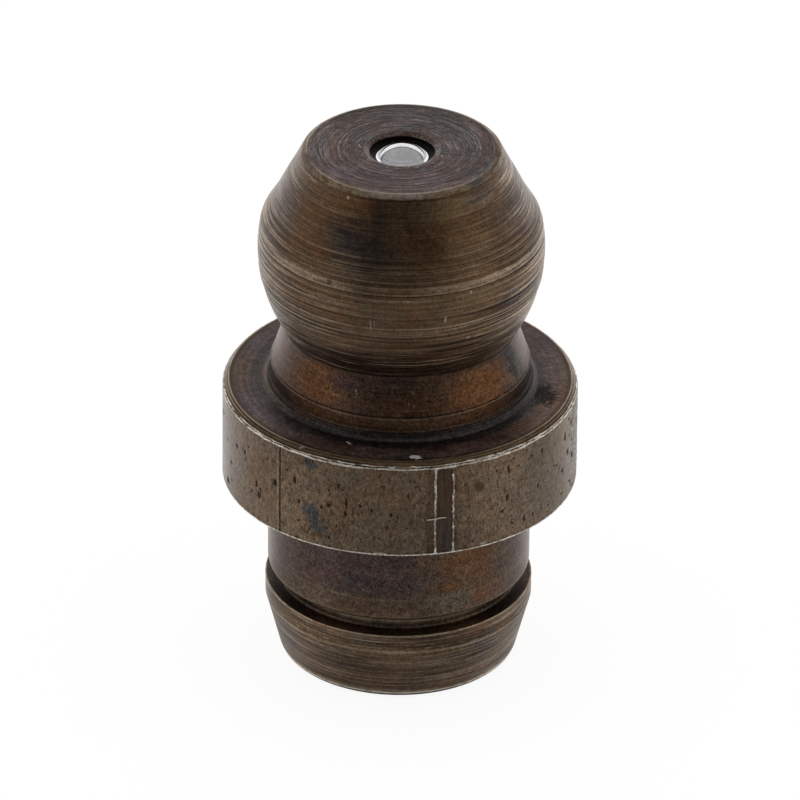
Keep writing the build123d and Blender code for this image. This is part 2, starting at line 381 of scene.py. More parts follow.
tear = rough_line(phi_f, 11, 0.007, 0.004)
tear2 = rough_line(phi_f, 12, 0.007, 0.004)
lift_a, lift_b = bump_at(phi_f, CUT_A, 0.9), bump_at(phi_f, CUT_B, 0.9)
rough_side = window(phi_f, -14, 6, 8)
for r, z, t, dr, dz in (
    (3.895, 6.8985, 0.0, 0.0, 0.0), (3.915, 6.8975, 0.05, 0.3, 0.2), (3.935, 6.8905, 0.0, 0.5, 0.3), (3.952, 6.872, -0.10, 0.2, 0.2), (3.972, 6.846, 0.10, 0.2, 0.2),
    (3.992, 6.822, -0.15, 0.3, 0.4), (4.010, 6.800, 0.0, 0.4, 0.9), (4.027, 6.782, 0.0, 0.5, 1.1), (4.037, 6.764, 0.0, 0.5, 1.2), (4.041, 6.744, 0.0, 0.3, 0.9),
):
    rr = np.minimum(r + dr * tear * 0.9, 4.0492)
    lathe.ring(phi_f, rr, z + dz * tear2 + 0.012 * (lift_a + lift_b) * (r > 4.0), "rim", line=t)
side_z = np.linspace(6.715, 4.575, 43)
for k, z in enumerate(side_z):
    wob = rough_line(phi_f, 40 + k, 0.0008, 0.0010) + rough_side * rough_line(phi_f, 140 + k, 0.006, 0.002)
    pit = pit_field(phi_f, z)
    seam = bump_at(phi_f, SEAM + 0.05 * math.sin(z * 3.1), 0.40)
    cut_a = bump_at(phi_f, CUT_A + 0.10 * math.sin(z * 5.1), 0.42)
    cut_b = bump_at(phi_f, CUT_B + 0.14 * math.sin(z * 4.3 + 1), 0.46)
    r = 4.0415 + wob - 0.020 * seam - 0.022 * pit + 0.006 * (cut_a + cut_b) - 0.006 * bump_at(phi_f, (CUT_A + CUT_B) / 2, 2.6)
    lathe.ring(phi_f, np.minimum(r, 4.0495), z, "collar", pit=pit)
tear3 = rough_line(phi_f, 13, 0.004, 0.003)
tear4 = rough_line(phi_f, 14, 0.003, 0.002)
for r, z, t, k in ((4.043, 4.552, 0.0, 0.2), (4.045, 4.535, 0.2, 0.8), (4.036, 4.515, 0.2, 1.0), (4.014, 4.504, -0.2, 0.6), (3.985, 4.501, -0.5, 0.0)):
    lathe.ring(phi_f, np.minimum(r + 0.3 * k * tear4, 4.0495), np.maximum(z + k * tear3 * 0.6, 4.4995), "collar", line=t)

# Underside of the collar, root radius, shank
for r in (3.95, 3.60, 3.28):
    lathe.ring(phi_c, r, 4.5, "shank", line=-0.2)
for r, z in arc_points((3.5, 4.5), (3.0, 4.5), (3.0, 4.0), 0.10, 5):
    lathe.ring(phi_c, r, z, "shank", line=-0.3)
SHANK_LINES = [
    (2.74, 0.03, -0.001, 0.22, -180, 180), (2.62, 0.02, 0.002, -0.15, -180, 180), (2.52, 0.02, 0.002, -0.15, -160, -20), (2.42, 0.02, 0.002, -0.2, -180, 180),
    (3.30, 0.02, 0.001, -0.2, -180, 180), (3.75, 0.02, 0.001, -0.2, -180, 180),
]
groove_painted_light_side = window(phi_c, -124.0, -56.0, 24.0)  # 1 on the side where light is painted into the groove, 0 elsewhere
for z in filled([4.39, 2.34] + [z + k * h for z, h, *_ in SHANK_LINES for k in (-1, 0, 1)], 0.12)[::-1]:
    d, tone = turned(z, phi_c, SHANK_LINES, 7000)
    lathe.ring(phi_c, 3.0 + d - 0.002, z, "shank", line=tone)
# The tones below are painted light and shade. There is a highlight band on the shank's lower rounding, strongest away
# from the lit side; on the lit side the rounding's underside is painted dark instead. The groove wall is painted lit on
# that side, fading downward. Elsewhere the groove and the ring's top are painted dark.
for k, (r, z) in enumerate(arc_points((2.998, 3.0), (2.998, 2.17), (2.6, 2.17), 0.16, 11)):
    lathe.ring(phi_c, r, z, "shank", line=[0.0, 0.05, 0.15, 0.15, 0.10, 0.10, 0.10, 0.0, -0.4, -0.6, -0.8][k] * groove_painted_light_side + [0.0, 0.10, 0.25, 0.40, 0.50, 0.60, 0.60, 0.45, 0.15, -0.10, -0.30][k] * (1 - groove_painted_light_side))
for r, z in arc_points((2.9, 2.17), (2.70, 2.17), (2.70, 2.0), 0.06, 4):
    lathe.ring(phi_c, r, z, "shank", line=1.45 * groove_painted_light_side - 0.45)
for z, t in ((2.06, 0.90), (2.02, 0.70), (1.98, 0.38), (1.94, 0.12)):
    lathe.ring(phi_c, 2.70, z, "shank", line=(t + 0.45) * groove_painted_light_side - 0.45)
for r, z in arc_points((2.70, 2.0), (2.70, 1.845), (2.9, 1.845), 0.06, 4):
    lathe.ring(phi_c, r, z, "shank", line=0.5 * groove_painted_light_side - 0.5)
lathe.ring(phi_c, 2.88, 1.845, "shank", line=0.65 * groove_painted_light_side - 0.55)
lathe.ring(phi_c, 3.015, 1.845, "shank", line=0.65 * groove_painted_light_side - 0.55)

# Barb ring with a burr on its upper edge, then the taper
tear5 = rough_line(phi_f, 15, 0.005, 0.004)
tear6 = rough_line(phi_f, 16, 0.005, 0.003)
for r, z, t, k in ((3.038, 1.846, 0.6, 0.6), (3.050, 1.842, 0.9, 1.0), (3.056, 1.826, 0.7, 1.0), (3.055, 1.800, 0.0, 0.4)):
    lathe.ring(phi_f, r + 0.6 * k * tear5, z + k * tear6 * 0.8, "ring", line=t + 10 * tear5)
RING_LINES = [
    (1.73, 0.014, 0.003, -0.4, -180, 180), (1.68, 0.014, -0.002, 0.3, -180, 180), (1.62, 0.014, 0.003, -0.5, -180, 180), (1.55, 0.014, -0.002, 0.3, -180, 180),
    (1.49, 0.014, 0.003, -0.4, -180, 180), (1.40, 0.035, -0.003, 0.6, -180, 180), (1.33, 0.014, 0.004, -0.5, -180, 180), (1.26, 0.014, -0.002, 0.3, -180, 180),
    (1.19, 0.018, 0.004, -0.6, -180, 180), (1.10, 0.018, 0.003, -0.5, -180, 180), (1.02, 0.014, 0.004, -0.6, -180, 180), (0.93, 0.014, -0.002, 0.3, -180, 180),
    (0.86, 0.014, 0.003, -0.5, -180, 180), (0.79, 0.014, -0.002, 0.3, -180, 180), (0.72, 0.014, 0.003, -0.4, -180, 180), (0.62, 0.016, -0.004, 0.7, -180, 180),
    (0.56, 0.014, 0.003, -0.5, -180, 180), (0.50, 0.014, -0.003, 0.6, -180, 180), (0.44, 0.014, 0.003, -0.4, -180, 180), (0.38, 0.014, -0.003, 0.6, -180, 180), (0.33, 0.012, 0.002, -0.3, -180, 180),
]
for z in filled([1.765, 0.30] + [z + k * h for z, h, *_ in RING_LINES for k in (-1, 0, 1)], 0.06)[::-1]:
    r = 3.055 if z > 1.41 else 3.055 - (1.41 - z) * (3.055 - 2.76) / (1.41 - 0.30)
    d, tone = turned(z, phi_c, RING_LINES, 8000)
    lathe.ring(phi_c, r + d - 0.001, z, "ring", line=tone)
# tones down the ring's lower rounding: a painted highlight at height 0.195, then painted shade darkening towards the
# floor
for r, z, t in ((2.748, 0.25, 0.1), (2.733, 0.195, 0.6), (2.712, 0.14, -0.3), (2.682, 0.085, -0.3), (2.638, 0.045, -0.4), (2.575, 0.016, -0.5), (2.50, 0.003, -0.5), (2.44, 0.0, -0.4)):
    lathe.ring(phi_c, r, z, "ring", line=t)
for r, z, t in (
    (2.20, 0.0, 0.1), (1.95, 0.0, -0.1), (1.72, 0.0, 0.1), (1.545, 0.001, 0.4), (1.505, 0.016, 0.6), (1.44, 0.09, 0.1), (1.35, 0.185, -0.2), (1.285, 0.248, -0.4),
    (1.255, 0.248, -0.4), (1.21, 0.195, -0.1), (1.15, 0.10, 0.1), (1.115, 0.066, 0.5), (1.06, 0.060, 0.4), (0.90, 0.062, 0.1), (0.76, 0.062, 0.2), (0.705, 0.064, 0.5),
    (0.675, 0.082, 0.4), (0.661, 0.115, 0.0), (0.66, 0.24, -0.3), (0.66, 0.385, -0.3), (0.672, 0.398, 0.0), (0.80, 0.40, -0.3), (0.93, 0.40, -0.3), (0.945, 0.41, -0.5), (0.95, 0.44, -0.5),
):
    g = np.random.default_rng(int(9000 + 100 * r + 10 * z))
    hand = 0.006 * waver(phi_c, int(9100 + 100 * r), -1, 1) if 0.66 < r < 1.54 and 0.0 < z < 0.3 else 0.0
    lathe.ring(phi_c, r, np.maximum(z + hand, 0.0), "ring" if z < 0.3 else "bore", line=t)
for z in (1.5, 3.5, 5.5, 7.5, 9.5, 11.0, 11.7, 12.05):
    lathe.ring(phi_c, 0.95, z, "bore", line=-0.3)
for k in np.linspace(0, 1, 6):
    lathe.ring(phi_c, 0.95 - (0.95 - 0.592) * k, 12.1385 + (12.5645 - 12.1385) * k, "bore", line=0.3)

body_rings = lathe.rings
print("rings", len(body_rings))


def build_lathe(name, rings, mats):
    """One closed mesh of rings, with a strip map: round the axis across, along the section up. Where the count changes, fans join the two."""
    total = len(rings)
    starts, n = [], 0
    for g in rings:
        starts.append(n)
        n += len(g["phi"])
    co = np.zeros((n, 3))
    line, pit, arc = np.zeros(n), np.zeros(n), np.zeros(n)
    s, last = 0.0, None
    for g, st in zip(rings, starts):
        a, k = np.radians(g["phi"]), slice(st, st + len(g["phi"]))
        co[k, 0], co[k, 1], co[k, 2] = g["r"] * np.cos(a), g["r"] * np.sin(a), g["z"]
        here = np.array([g["r"].mean(), g["z"].mean()])
        s += 0.0 if last is None else float(np.linalg.norm(here - last))
        last = here
        line[k], pit[k], arc[k] = g["line"], g["pit"], s
    # map heights: the passage takes a quarter of its length, the outside all of it
    up = [0.0]
    for i in range(total):
        A, B = rings[i], rings[(i + 1) % total]
        step = math.hypot(A["r"].mean() - B["r"].mean(), A["z"].mean() - B["z"].mean())
        up.append(up[-1] + step * (0.22 if A["mat"] == B["mat"] == "bore" else 1.0))
    up = 0.003 + 0.994 * np.array(up) / up[-1]
    faces, face_mat, corner = [], [], []
    for i in range(total):
        A, B = rings[i], rings[(i + 1) % total]
        sa, sb = starts[i], starts[(i + 1) % total]
        va, vb = up[i], up[i + 1]
        pa, pb = np.append(A["phi"], A["phi"][0] + 360), np.append(B["phi"], B["phi"][0] + 360)
        na, nb = len(A["phi"]), len(B["phi"])
        m = mats.index(B["mat"] if i + 1 < total else A["mat"])
        if na == nb:
            for j in range(na):
                j2 = (j + 1) % na
                faces.append((sa + j, sb + j, sb + j2, sa + j2))
                corner += [(pa[j], va), (pb[j], vb), (pb[j + 1], vb), (pa[j + 1], va)]
            face_mat += [m] * na
            continue
        flip = na > nb
        C, F, sc, sf, vc, vf, pc, pf = (B, A, sb, sa, vb, va, pb, pa) if flip else (A, B, sa, sb, va, vb, pa, pb)
        where = {round(float(p), 4): q for q, p in enumerate(F["phi"])}
        nc, nf = len(C["phi"]), len(F["phi"])
        for c in range(nc):
            c2 = (c + 1) % nc
            q0, q1 = where[round(float(C["phi"][c]), 4)], where[round(float(C["phi"][c2]), 4)]
            if q1 <= q0:
                q1 += nf
            mid = (q0 + q1) // 2
            one, two = (sc + c, pc[c], vc), (sc + c2, pc[c + 1], vc)
            at = {q: (sf + q % nf, pf[q], vf) for q in range(q0, q1 + 1)}
            tris = [(one, at[q], at[q + 1]) for q in range(q0, mid)]
            tris.append((one, at[mid], two))
            tris += [(two, at[q], at[q + 1]) for q in range(mid, q1)]
            for t in tris:
                t = t[::-1] if flip else t
                faces.append(tuple(v[0] for v in t))
                corner += [(v[1], v[2]) for v in t]
            face_mat += [m] * len(tris)
    mesh = bpy.data.meshes.new(name)
    mesh.from_pydata((co * MM).tolist(), [], faces)
    for m in mats:
        mesh.materials.append(None)
    mesh.polygons.foreach_set("material_index", np.array(face_mat, np.int32))
    mesh.polygons.foreach_set("use_smooth", np.ones(len(mesh.polygons), bool))
    for key, values in (("line", line), ("arc", arc), ("pit", pit)):
        att = mesh.attributes.new(key, "FLOAT", "POINT")
        att.data.foreach_set("value", values.astype(np.float32))
    corner = np.array(corner)
    corner[:, 0] = 0.001 + 0.998 * (corner[:, 0] + 180.0) / 360.0
    strip = mesh.uv_layers.new(name="OFBake")
    strip.uv.foreach_set("vector", corner.astype(np.float32).ravel())
    mesh.update()
    mesh.set_sharp_from_angle(angle=math.radians(42))
    ob = bpy.data.objects.new(name, mesh)
    bpy.context.scene.collection.objects.link(ob)
    return ob


MATS = ["face", "head", "neck", "top", "rim", "collar", "shank", "ring", "bore"]
body = build_lathe("nipple_body_turned", body_rings, MATS)
print("body triangles", sum(len(p.vertices) - 2 for p in body.data.polygons))

# ------------------------------------------------------------------ materials


class Graph:
    """Short names for shader nodes. A value is a number, a tuple or a socket."""

    def __init__(self, name):
        self.mat = bpy.data.materials.new(name)
        self.mat.use_nodes = True
        self.nt = self.mat.node_tree
        self.nt.nodes.clear()

    def put(self, socket, value):
        if isinstance(value, bpy.types.NodeSocket):
            self.nt.links.new(value, socket)
        else:
            socket.default_value = value

    def node(self, kind, **props):
        n = self.nt.nodes.new(kind)
        for k, v in props.items():
            setattr(n, k, v)
        return n

    def m(self, op, a, b=None, c=None, clamp=False):
        n = self.node("ShaderNodeMath", operation=op, use_clamp=clamp)
        for i, v in enumerate((a, b, c)):
            if v is not None:
                self.put(n.inputs[i], v)
        return n.outputs[0]

    def add(self, a, b): return self.m("ADD", a, b)
    def sub(self, a, b): return self.m("SUBTRACT", a, b)
    def mul(self, a, b): return self.m("MULTIPLY", a, b)
    def most(self, a, b): return self.m("MAXIMUM", a, b)
    def least(self, a, b): return self.m("MINIMUM", a, b)

    def v(self, op, a, b=None, c=None):
        n = self.node("ShaderNodeVectorMath", operation=op)
        for i, x in enumerate((a, b, c)):
            if x is not None:
                self.put(n.inputs[i], x)
        return n.outputs["Value"] if op in ("LENGTH", "DOT_PRODUCT", "DISTANCE") else n.outputs["Vector"]

    def xyz(self, x=0.0, y=0.0, z=0.0):
        n = self.node("ShaderNodeCombineXYZ")
        for i, v in enumerate((x, y, z)):
            self.put(n.inputs[i], v)
        return n.outputs[0]

    def split(self, vec):
        n = self.node("ShaderNodeSeparateXYZ")
        self.put(n.inputs[0], vec)
        return n.outputs[0], n.outputs[1], n.outputs[2]

    def noise(self, vec, scale=1.0, detail=2.0, rough=0.5, distort=0.0, color=False):
        n = self.node("ShaderNodeTexNoise", noise_dimensions="3D")
        self.put(n.inputs["Vector"], vec)
        n.inputs["Scale"].default_value = scale
        n.inputs["Detail"].default_value = detail
        n.inputs["Roughness"].default_value = rough
        n.inputs["Distortion"].default_value = distort
        return n.outputs["Color" if color else "Fac"]

    def step(self, x, a, b, lo=0.0, hi=1.0):
        n = self.node("ShaderNodeMapRange", interpolation_type="SMOOTHSTEP", clamp=True)
        self.put(n.inputs["Value"], x)
        for k, v in (("From Min", a), ("From Max", b), ("To Min", lo), ("To Max", hi)):
            self.put(n.inputs[k], v)
        return n.outputs["Result"]

    def lin(self, x, a, b, lo=0.0, hi=1.0):
        n = self.node("ShaderNodeMapRange", interpolation_type="LINEAR", clamp=True)
        self.put(n.inputs["Value"], x)
        for k, v in (("From Min", a), ("From Max", b), ("To Min", lo), ("To Max", hi)):
            self.put(n.inputs[k], v)
        return n.outputs["Result"]

    def mixc(self, fac, a, b, blend="MIX"):
        n = self.node("ShaderNodeMix", data_type="RGBA", blend_type=blend, clamp_factor=True)
        self.put(n.inputs["Factor"], fac)
        for s, v in ((n.inputs[6], a), (n.inputs[7], b)):
            self.put(s, (*v, 1.0) if isinstance(v, tuple) and len(v) == 3 else v)
        return n.outputs[2]

    def scale(self, col, f):
        """Colour times number."""
        n = self.node("ShaderNodeVectorMath", operation="SCALE")
        self.put(n.inputs[0], col)
        self.put(n.inputs["Scale"], f)
        return n.outputs["Vector"]

    def attr(self, name):
        return self.node("ShaderNodeAttribute", attribute_name=name, attribute_type="GEOMETRY").outputs["Fac"]


def place(g):
    """Millimetre coordinates, the direction round the axis, phi in degrees."""
    co = g.node("ShaderNodeTexCoord").outputs["Object"]
    p = g.v("MULTIPLY", co, (1000.0, 1000.0, 1000.0))
    x, y, z = g.split(p)
    radius = g.m("SQRT", g.add(g.mul(x, x), g.mul(y, y)))
    phi = g.m("DEGREES", g.m("ARCTAN2", y, x))
    around = g.v("NORMALIZE", g.xyz(x, y, 0.0))
    return p, x, y, z, radius, phi, around


TONES = {
    "rust": (0.140, 0.060, 0.023),
    "brown": (0.118, 0.060, 0.027),
    "gold": (0.180, 0.120, 0.062),
    "umber": (0.060, 0.028, 0.015),
    "violet": (0.058, 0.034, 0.034),
    "plum": (0.080, 0.053, 0.054),
    "dusk": (0.082, 0.053, 0.040),
    "steel": (0.056, 0.062, 0.066),
    "slate": (0.030, 0.034, 0.037),
    "black": (0.012, 0.010, 0.010),
    "grey": (0.130, 0.115, 0.105),
    "pale": (0.330, 0.255, 0.165),
    "white": (0.85, 0.84, 0.82),
    "soot": (0.030, 0.027, 0.027),
    "zinc": (0.128, 0.106, 0.082),
    # a pale tone used as painted light on the collar's top
    "haze": (0.345, 0.258, 0.236),
    "ember": (0.340, 0.170, 0.125),
    "mauve": (0.094, 0.071, 0.079),
    "russet": (0.185, 0.093, 0.061),
}


def spots(g, field, shapes):
    """The strongest of several soft ellipses on a 2-D field. Each is (centre, centre, half size, half size, strength, softness)."""
    best = None
    for cx, cy, rx, ry, strength, soft in shapes:
        d = g.v("LENGTH", g.v("MULTIPLY", g.v("SUBTRACT", field, (cx, cy, 0.0)), (1.0 / rx, 1.0 / ry, 0.0)))
        mask = g.step(d, 1.0 + soft, 1.0 - soft, 0.0, strength)
        best = mask if best is None else g.most(best, mask)
    return best


def oxide(name, base, light=(0.42, 0.335, 0.25), dark=(0.030, 0.018, 0.012), line_light=(0.42, 0.335, 0.235), line_dark=(0.013, 0.008, 0.006),
          rough=0.36, streak=1.0, crisp=1.0, fine_streak=1.0, mottle=1.0, grain=1.0, speck=0.0, hue=1.0, bump=1.0, pitch=1.0,
          field="phi_z", warp=(10.0, 0.18), torn_at=(5.0, 18.0), edge=0.7, flanks=0.0, low_marks=None, pit_noise=0.7, calm=(), patches=(), extras=(), seed=0.0):
    """Heat-tinted, turned steel. patches are (tone, [ellipses]) on the piece's own 2-D field, their edges broken by noise."""
    g = Graph(name)
    p, x, y, z, radius, phi, around = place(g)
    arc, line, pit = g.attr("arc"), g.attr("line"), g.attr("pit")
    ux, uy, _ = g.split(around)

    def rn(f_phi, f_arc, detail=2.0, rough=0.6, off=0.0):
        """Noise drawn out round the axis: f_phi features a radian, f_arc features a millimetre of the section."""
        off = off + seed
        return g.noise(g.xyz(g.add(g.mul(ux, f_phi), off), g.mul(uy, f_phi), g.add(g.mul(arc, f_arc), off * 1.7)), 1.0, detail, rough)

    def pn(f, detail=2.0, rough=0.6, off=0.0, tall=1.0):
        """Noise in space, f features a millimetre; tall draws it out along the axis."""
        off = off + seed
        return g.noise(g.v("ADD", g.v("MULTIPLY", p, (f, f, f / tall)), (off, off * 0.7, off * 1.3)), 1.0, detail, rough)

    big, mid = pn(0.6, 3.0, 0.55), pn(2.4, 4.0, 0.62, 3.0)
    col = g.mixc(g.step(g.add(g.mul(big, 0.55), g.mul(mid, 0.45)), 0.38, 0.62), tuple(c * 0.84 for c in base), tuple(c * 1.16 for c in base))
    warm, cool = tuple(base[i] * (1.22, 0.96, 0.78)[i] for i in range(3)), tuple(base[i] * (0.84, 1.0, 1.16)[i] for i in range(3))
    drift = pn(1.7, 3.0, 0.6, 9.0)
    col = g.mixc(g.step(drift, 0.50, 0.68, 0.0, 0.55 * hue), col, warm)
    col = g.mixc(g.step(drift, 0.48, 0.32, 0.0, 0.55 * hue), col, cool)

    # Patches of the heat tint
    way = g.noise(g.xyz(g.mul(ux, 9.0), g.mul(uy, 9.0), g.mul(arc, 5.0)), 1.0, 4.0, 0.68, color=True)
    way2 = g.noise(g.v("ADD", p, (seed, 0.0, seed)), 5.5, 3.0, 0.6, color=True)
    shift = g.v("ADD", g.v("SUBTRACT", way, (0.5, 0.5, 0.5)), g.v("SUBTRACT", way2, (0.5, 0.5, 0.5)))
    flat = g.xyz(phi, {"phi_z": z, "phi_r": radius}[field], 0.0) if field != "xy" else g.xyz(x, y, 0.0)
    moved = g.v("ADD", flat, g.v("MULTIPLY", shift, (*warp, 0.0)))
    torn = rn(torn_at[0], torn_at[1], 4.0, 0.68, 1.0)
    for tone, shapes in patches:
        mask = g.mul(spots(g, moved, shapes), g.step(torn, 0.30, 0.56, 1.0 - edge, 1.0))
        col = g.mixc(mask, col, TONES[tone])

    # Turned marks run straight round the axis: the pattern is across them, and slow masks make each come and go
    quiet = g.sub(1.0, spots(g, moved, calm)) if calm else 1.0
    wide, fine, hair = rn(0.30, 6.5 * pitch, 2.0, 0.6, 2.0), rn(0.22, 22.0 * pitch, 2.0, 0.65, 3.0), rn(0.5, 48.0 * pitch, 1.0, 0.5, 4.0)
    fade = g.step(rn(1.5, 2.4, 3.0, 0.6, 7.0), 0.38, 0.62, 0.25, 1.0)
    fade2 = g.step(rn(2.6, 5.0, 3.0, 0.6, 8.0), 0.36, 0.60, 0.15, 1.0)
    streaks = g.add(g.mul(g.mul(g.sub(wide, 0.5), 2.2 * streak), fade), g.mul(g.mul(g.add(g.sub(fine, 0.5), g.mul(g.sub(hair, 0.5), 0.8)), 3.0 * fine_streak), fade2))
    streaks = g.mul(streaks, quiet)
    col = g.scale(col, g.add(1.0, g.add(g.lin(streaks, 0.0, 1.2, 0.0, 0.75), g.lin(streaks, 0.0, -1.2, 0.0, -0.60))))
    lit = g.lin(g.m("ABSOLUTE", g.sub(rn(0.18, 12.0 * pitch, 2.0, 0.55, 21.0), 0.5)), 0.075, 0.015)
    flank = g.step(g.m("ABSOLUTE", uy), 0.80, 0.35, 1.0, 1.0 + flanks)  # painted highlight and shade: the light and dark marks are stronger on the left and right sides, where grazing light shows them
    if low_marks:
        flank = g.mul(flank, g.step(z, low_marks[0] - 0.25, low_marks[0] + 0.25, low_marks[1], low_marks[2]))
    lit = g.mul(g.mul(g.mul(lit, g.step(rn(1.3, 5.5, 3.0, 0.62, 23.0), 0.46, 0.62)), quiet), flank)
    cut = g.lin(g.m("ABSOLUTE", g.sub(rn(0.18, 10.0 * pitch, 2.0, 0.55, 31.0), 0.5)), 0.070, 0.015)
    cut = g.mul(g.mul(g.mul(cut, g.step(rn(1.2, 5.0, 3.0, 0.62, 33.0), 0.45, 0.60)), quiet), flank)
    col = g.mixc(g.mul(lit, 0.62 * crisp), col, light)
    col = g.mixc(g.mul(cut, min(0.70 * crisp, 1.0)), col, dark)

    # Mottled scale, fine grain and dark specks
    scale_n, grit = pn(8.0, 4.0, 0.68, 13.0), pn(24.0, 2.0, 0.6, 17.0, 1.25)
    col = g.scale(col, g.lin(scale_n, 0.3, 0.7, 1 - 0.26 * mottle, 1 + 0.26 * mottle))
    col = g.scale(col, g.lin(grit, 0.3, 0.7, 1 - 0.32 * grain, 1 + 0.32 * grain))
    if speck:
        dots = g.step(pn(13.0, 3.0, 0.6, 19.0, 1.6), 0.60, 0.68)
        col = g.mixc(g.mul(dots, speck), col, dark)

    # Lines cut or rolled by the tool
    broken = rn(11.0, 3.0, 3.0, 0.65, 5.0)
    up = g.mul(g.most(line, 0.0), g.step(broken, 0.36, 0.58, 0.40, 1.0))
    down = g.mul(g.most(g.mul(line, -1.0), 0.0), g.step(broken, 0.66, 0.44, 0.55, 1.0))
    if calm:
        soft = g.add(0.30, g.mul(quiet, 0.70))
        up, down = g.mul(up, soft), g.mul(down, soft)
    col = g.mixc(g.lin(up, 0.0, 1.0, 0.0, 0.9), col, line_light)
    col = g.mixc(g.lin(down, 0.0, 1.0, 0.0, 0.92), col, line_dark)

    # Dust and short bright nicks
    dust = g.noise(g.v("MULTIPLY", p, (30.0, 30.0, 36.0)), 1.0, 1.0, 0.5)
    nicks = g.mul(g.step(dust, 0.755, 0.80), g.step(pn(1.7, 2.0, 0.5, 41.0), 0.45, 0.6))
    col = g.mixc(g.mul(nicks, 0.55), col, (0.55, 0.50, 0.43))

    # Pits
    holes = g.step(g.add(pit, g.add(g.mul(g.sub(pn(15.0, 2.0, 0.6, 43.0), 0.5), pit_noise), g.mul(g.sub(pn(34.0, 1.0, 0.5, 44.0), 0.5), 0.4))), 0.20, 0.50)
    holes = g.mul(holes, g.step(pit, 0.02, 0.10))
    col = g.mixc(g.mul(holes, 0.86), col, (0.018, 0.011, 0.009))

    rgh = g.add(g.lin(g.add(g.mul(mid, 0.5), g.mul(scale_n, 0.5)), 0.3, 0.7, rough - 0.06, rough + 0.10), g.mul(g.add(down, holes), 0.14))
    height = g.add(g.mul(g.mul(fine, fade2), 1.8 * fine_streak), g.mul(g.mul(wide, fade), 0.7 * streak))
    height = g.add(height, g.mul(g.sub(lit, cut), 0.7 * crisp))
    height = g.add(height, g.add(g.mul(scale_n, 0.8 * mottle), g.mul(grit, 0.4 * grain)))
    height = g.sub(height, g.mul(holes, 1.6))
    q = dict(g=g, p=p, x=x, y=y, z=z, phi=phi, radius=radius, flat=flat, torn=torn, grit=grit, rn=rn, pn=pn, line=line, col=col, rough=rgh, height=height)
    for extra in extras:
        extra(q)

    bsdf = g.node("ShaderNodeBsdfPrincipled")
    out = g.node("ShaderNodeOutputMaterial")
    g.put(out.inputs["Surface"], bsdf.outputs[0])
    g.put(bsdf.inputs["Base Color"], q["col"])
    bsdf.inputs["Metallic"].default_value = 1.0
    g.put(bsdf.inputs["Roughness"], q["rough"])
    b = g.node("ShaderNodeBump")
    b.inputs["Strength"].default_value = 1.0
    b.inputs["Distance"].default_value = 3.4e-6 * bump
    g.put(b.inputs["Height"], q["height"])
    g.put(bsdf.inputs["Normal"], b.outputs[0])
    return g.mat


def band(g, x, lo, hi, soft):
    """1 between lo and hi, 0 past soft outside them."""
    return g.mul(g.step(x, lo - soft, lo + soft), g.step(x, hi + soft, hi - soft))


def edge_marks(q):
    """The worn rounding between the top face and the cone: a thin bright line, a golden-brown band ragged on both sides, the dark line under it."""
    g, rn = q["g"], q["rn"]
    t = g.add(q["radius"], g.sub(12.76, q["z"]))
    t = g.add(t, g.mul(g.sub(rn(9.0, 2.0, 3.0, 0.65, 51.0), 0.5), 0.090))
    t = g.add(t, g.mul(g.sub(rn(26.0, 9.0, 2.0, 0.6, 52.0), 0.5), 0.060))
    on = band(g, t, 2.135, 2.375, 0.020)
    pf = g.xyz(q["phi"], q["z"], 0.0)
    keep = spots(g, pf, [(-90.0, 12.6, 68.0, 5.0, 1.0, 0.22), (75.0, 12.6, 60.0, 5.0, 0.8, 0.3), (172.0, 12.6, 20.0, 5.0, 0.5, 0.5)])
    blue = spots(g, pf, [(-41.0, 12.70, 7.0, 0.20, 0.8, 0.5), (-170.0, 12.70, 10.0, 0.20, 0.5, 0.5), (-20.0, 12.70, 8.0, 0.20, 0.5, 0.5)])
    tan = g.mixc(g.step(rn(13.0, 9.0, 3.0, 0.68, 57.0), 0.38, 0.62), (0.125, 0.084, 0.052), (0.285, 0.212, 0.142))
    rosy = g.mixc(g.step(rn(15.0, 9.0, 3.0, 0.68, 58.0), 0.38, 0.62), (0.190, 0.140, 0.115), (0.330, 0.270, 0.230))
    tan = g.mixc(spots(g, pf, [(-92.0, 12.6, 20.0, 5.0, 0.85, 0.5)]), tan, rosy)
    tan = g.mixc(blue, tan, (0.075, 0.083, 0.085))
    q["col"] = g.mixc(g.mul(g.mul(on, keep), 0.90), q["col"], tan)
    top_line = g.mul(band(g, t, 2.150, 2.185, 0.016), g.step(rn(7.0, 0.0, 3.0, 0.6, 59.0), 0.36, 0.52, 0.15, 0.80))
    q["col"] = g.mixc(g.mul(top_line, keep), q["col"], (0.46, 0.39, 0.32))
    under = band(g, t, 2.405, 2.440, 0.022)
    q["col"] = g.mixc(g.mul(under, 0.62), q["col"], (0.026, 0.016, 0.011))
    q["rough"] = g.add(q["rough"], g.mul(on, 0.08))


def face_marks(q):
    """Short crisp strokes left by the tool on the top face, running round the axis."""
    g, rn = q["g"], q["rn"]
    short, tiny, tone = rn(6.0, 20.0, 3.0, 0.68, 151.0), rn(11.0, 34.0, 2.0, 0.6, 153.0), rn(2.6, 4.5, 3.0, 0.62, 155.0)
    col = g.mixc(g.step(tone, 0.53, 0.64, 0.0, 0.55), q["col"], (0.098, 0.050, 0.042))
    col = g.mixc(g.step(tone, 0.47, 0.36, 0.0, 0.55), col, (0.058, 0.060, 0.064))
    col = g.mixc(g.step(short, 0.46, 0.36, 0.0, 0.72), col, (0.016, 0.010, 0.010))
    col = g.mixc(g.step(short, 0.55, 0.66, 0.0, 0.55), col, (0.210, 0.160, 0.145))
    col = g.v("MULTIPLY", col, g.xyz(1.0, g.step(q["y"], -0.3, -1.2, 1.0, 0.91), g.step(q["y"], -0.3, -1.2, 1.0, 0.90)))
    q["col"] = g.scale(col, g.mul(g.lin(tiny, 0.34, 0.66, 0.62, 1.42), g.step(q["y"], 0.5, 1.6, 0.98, 0.72)))


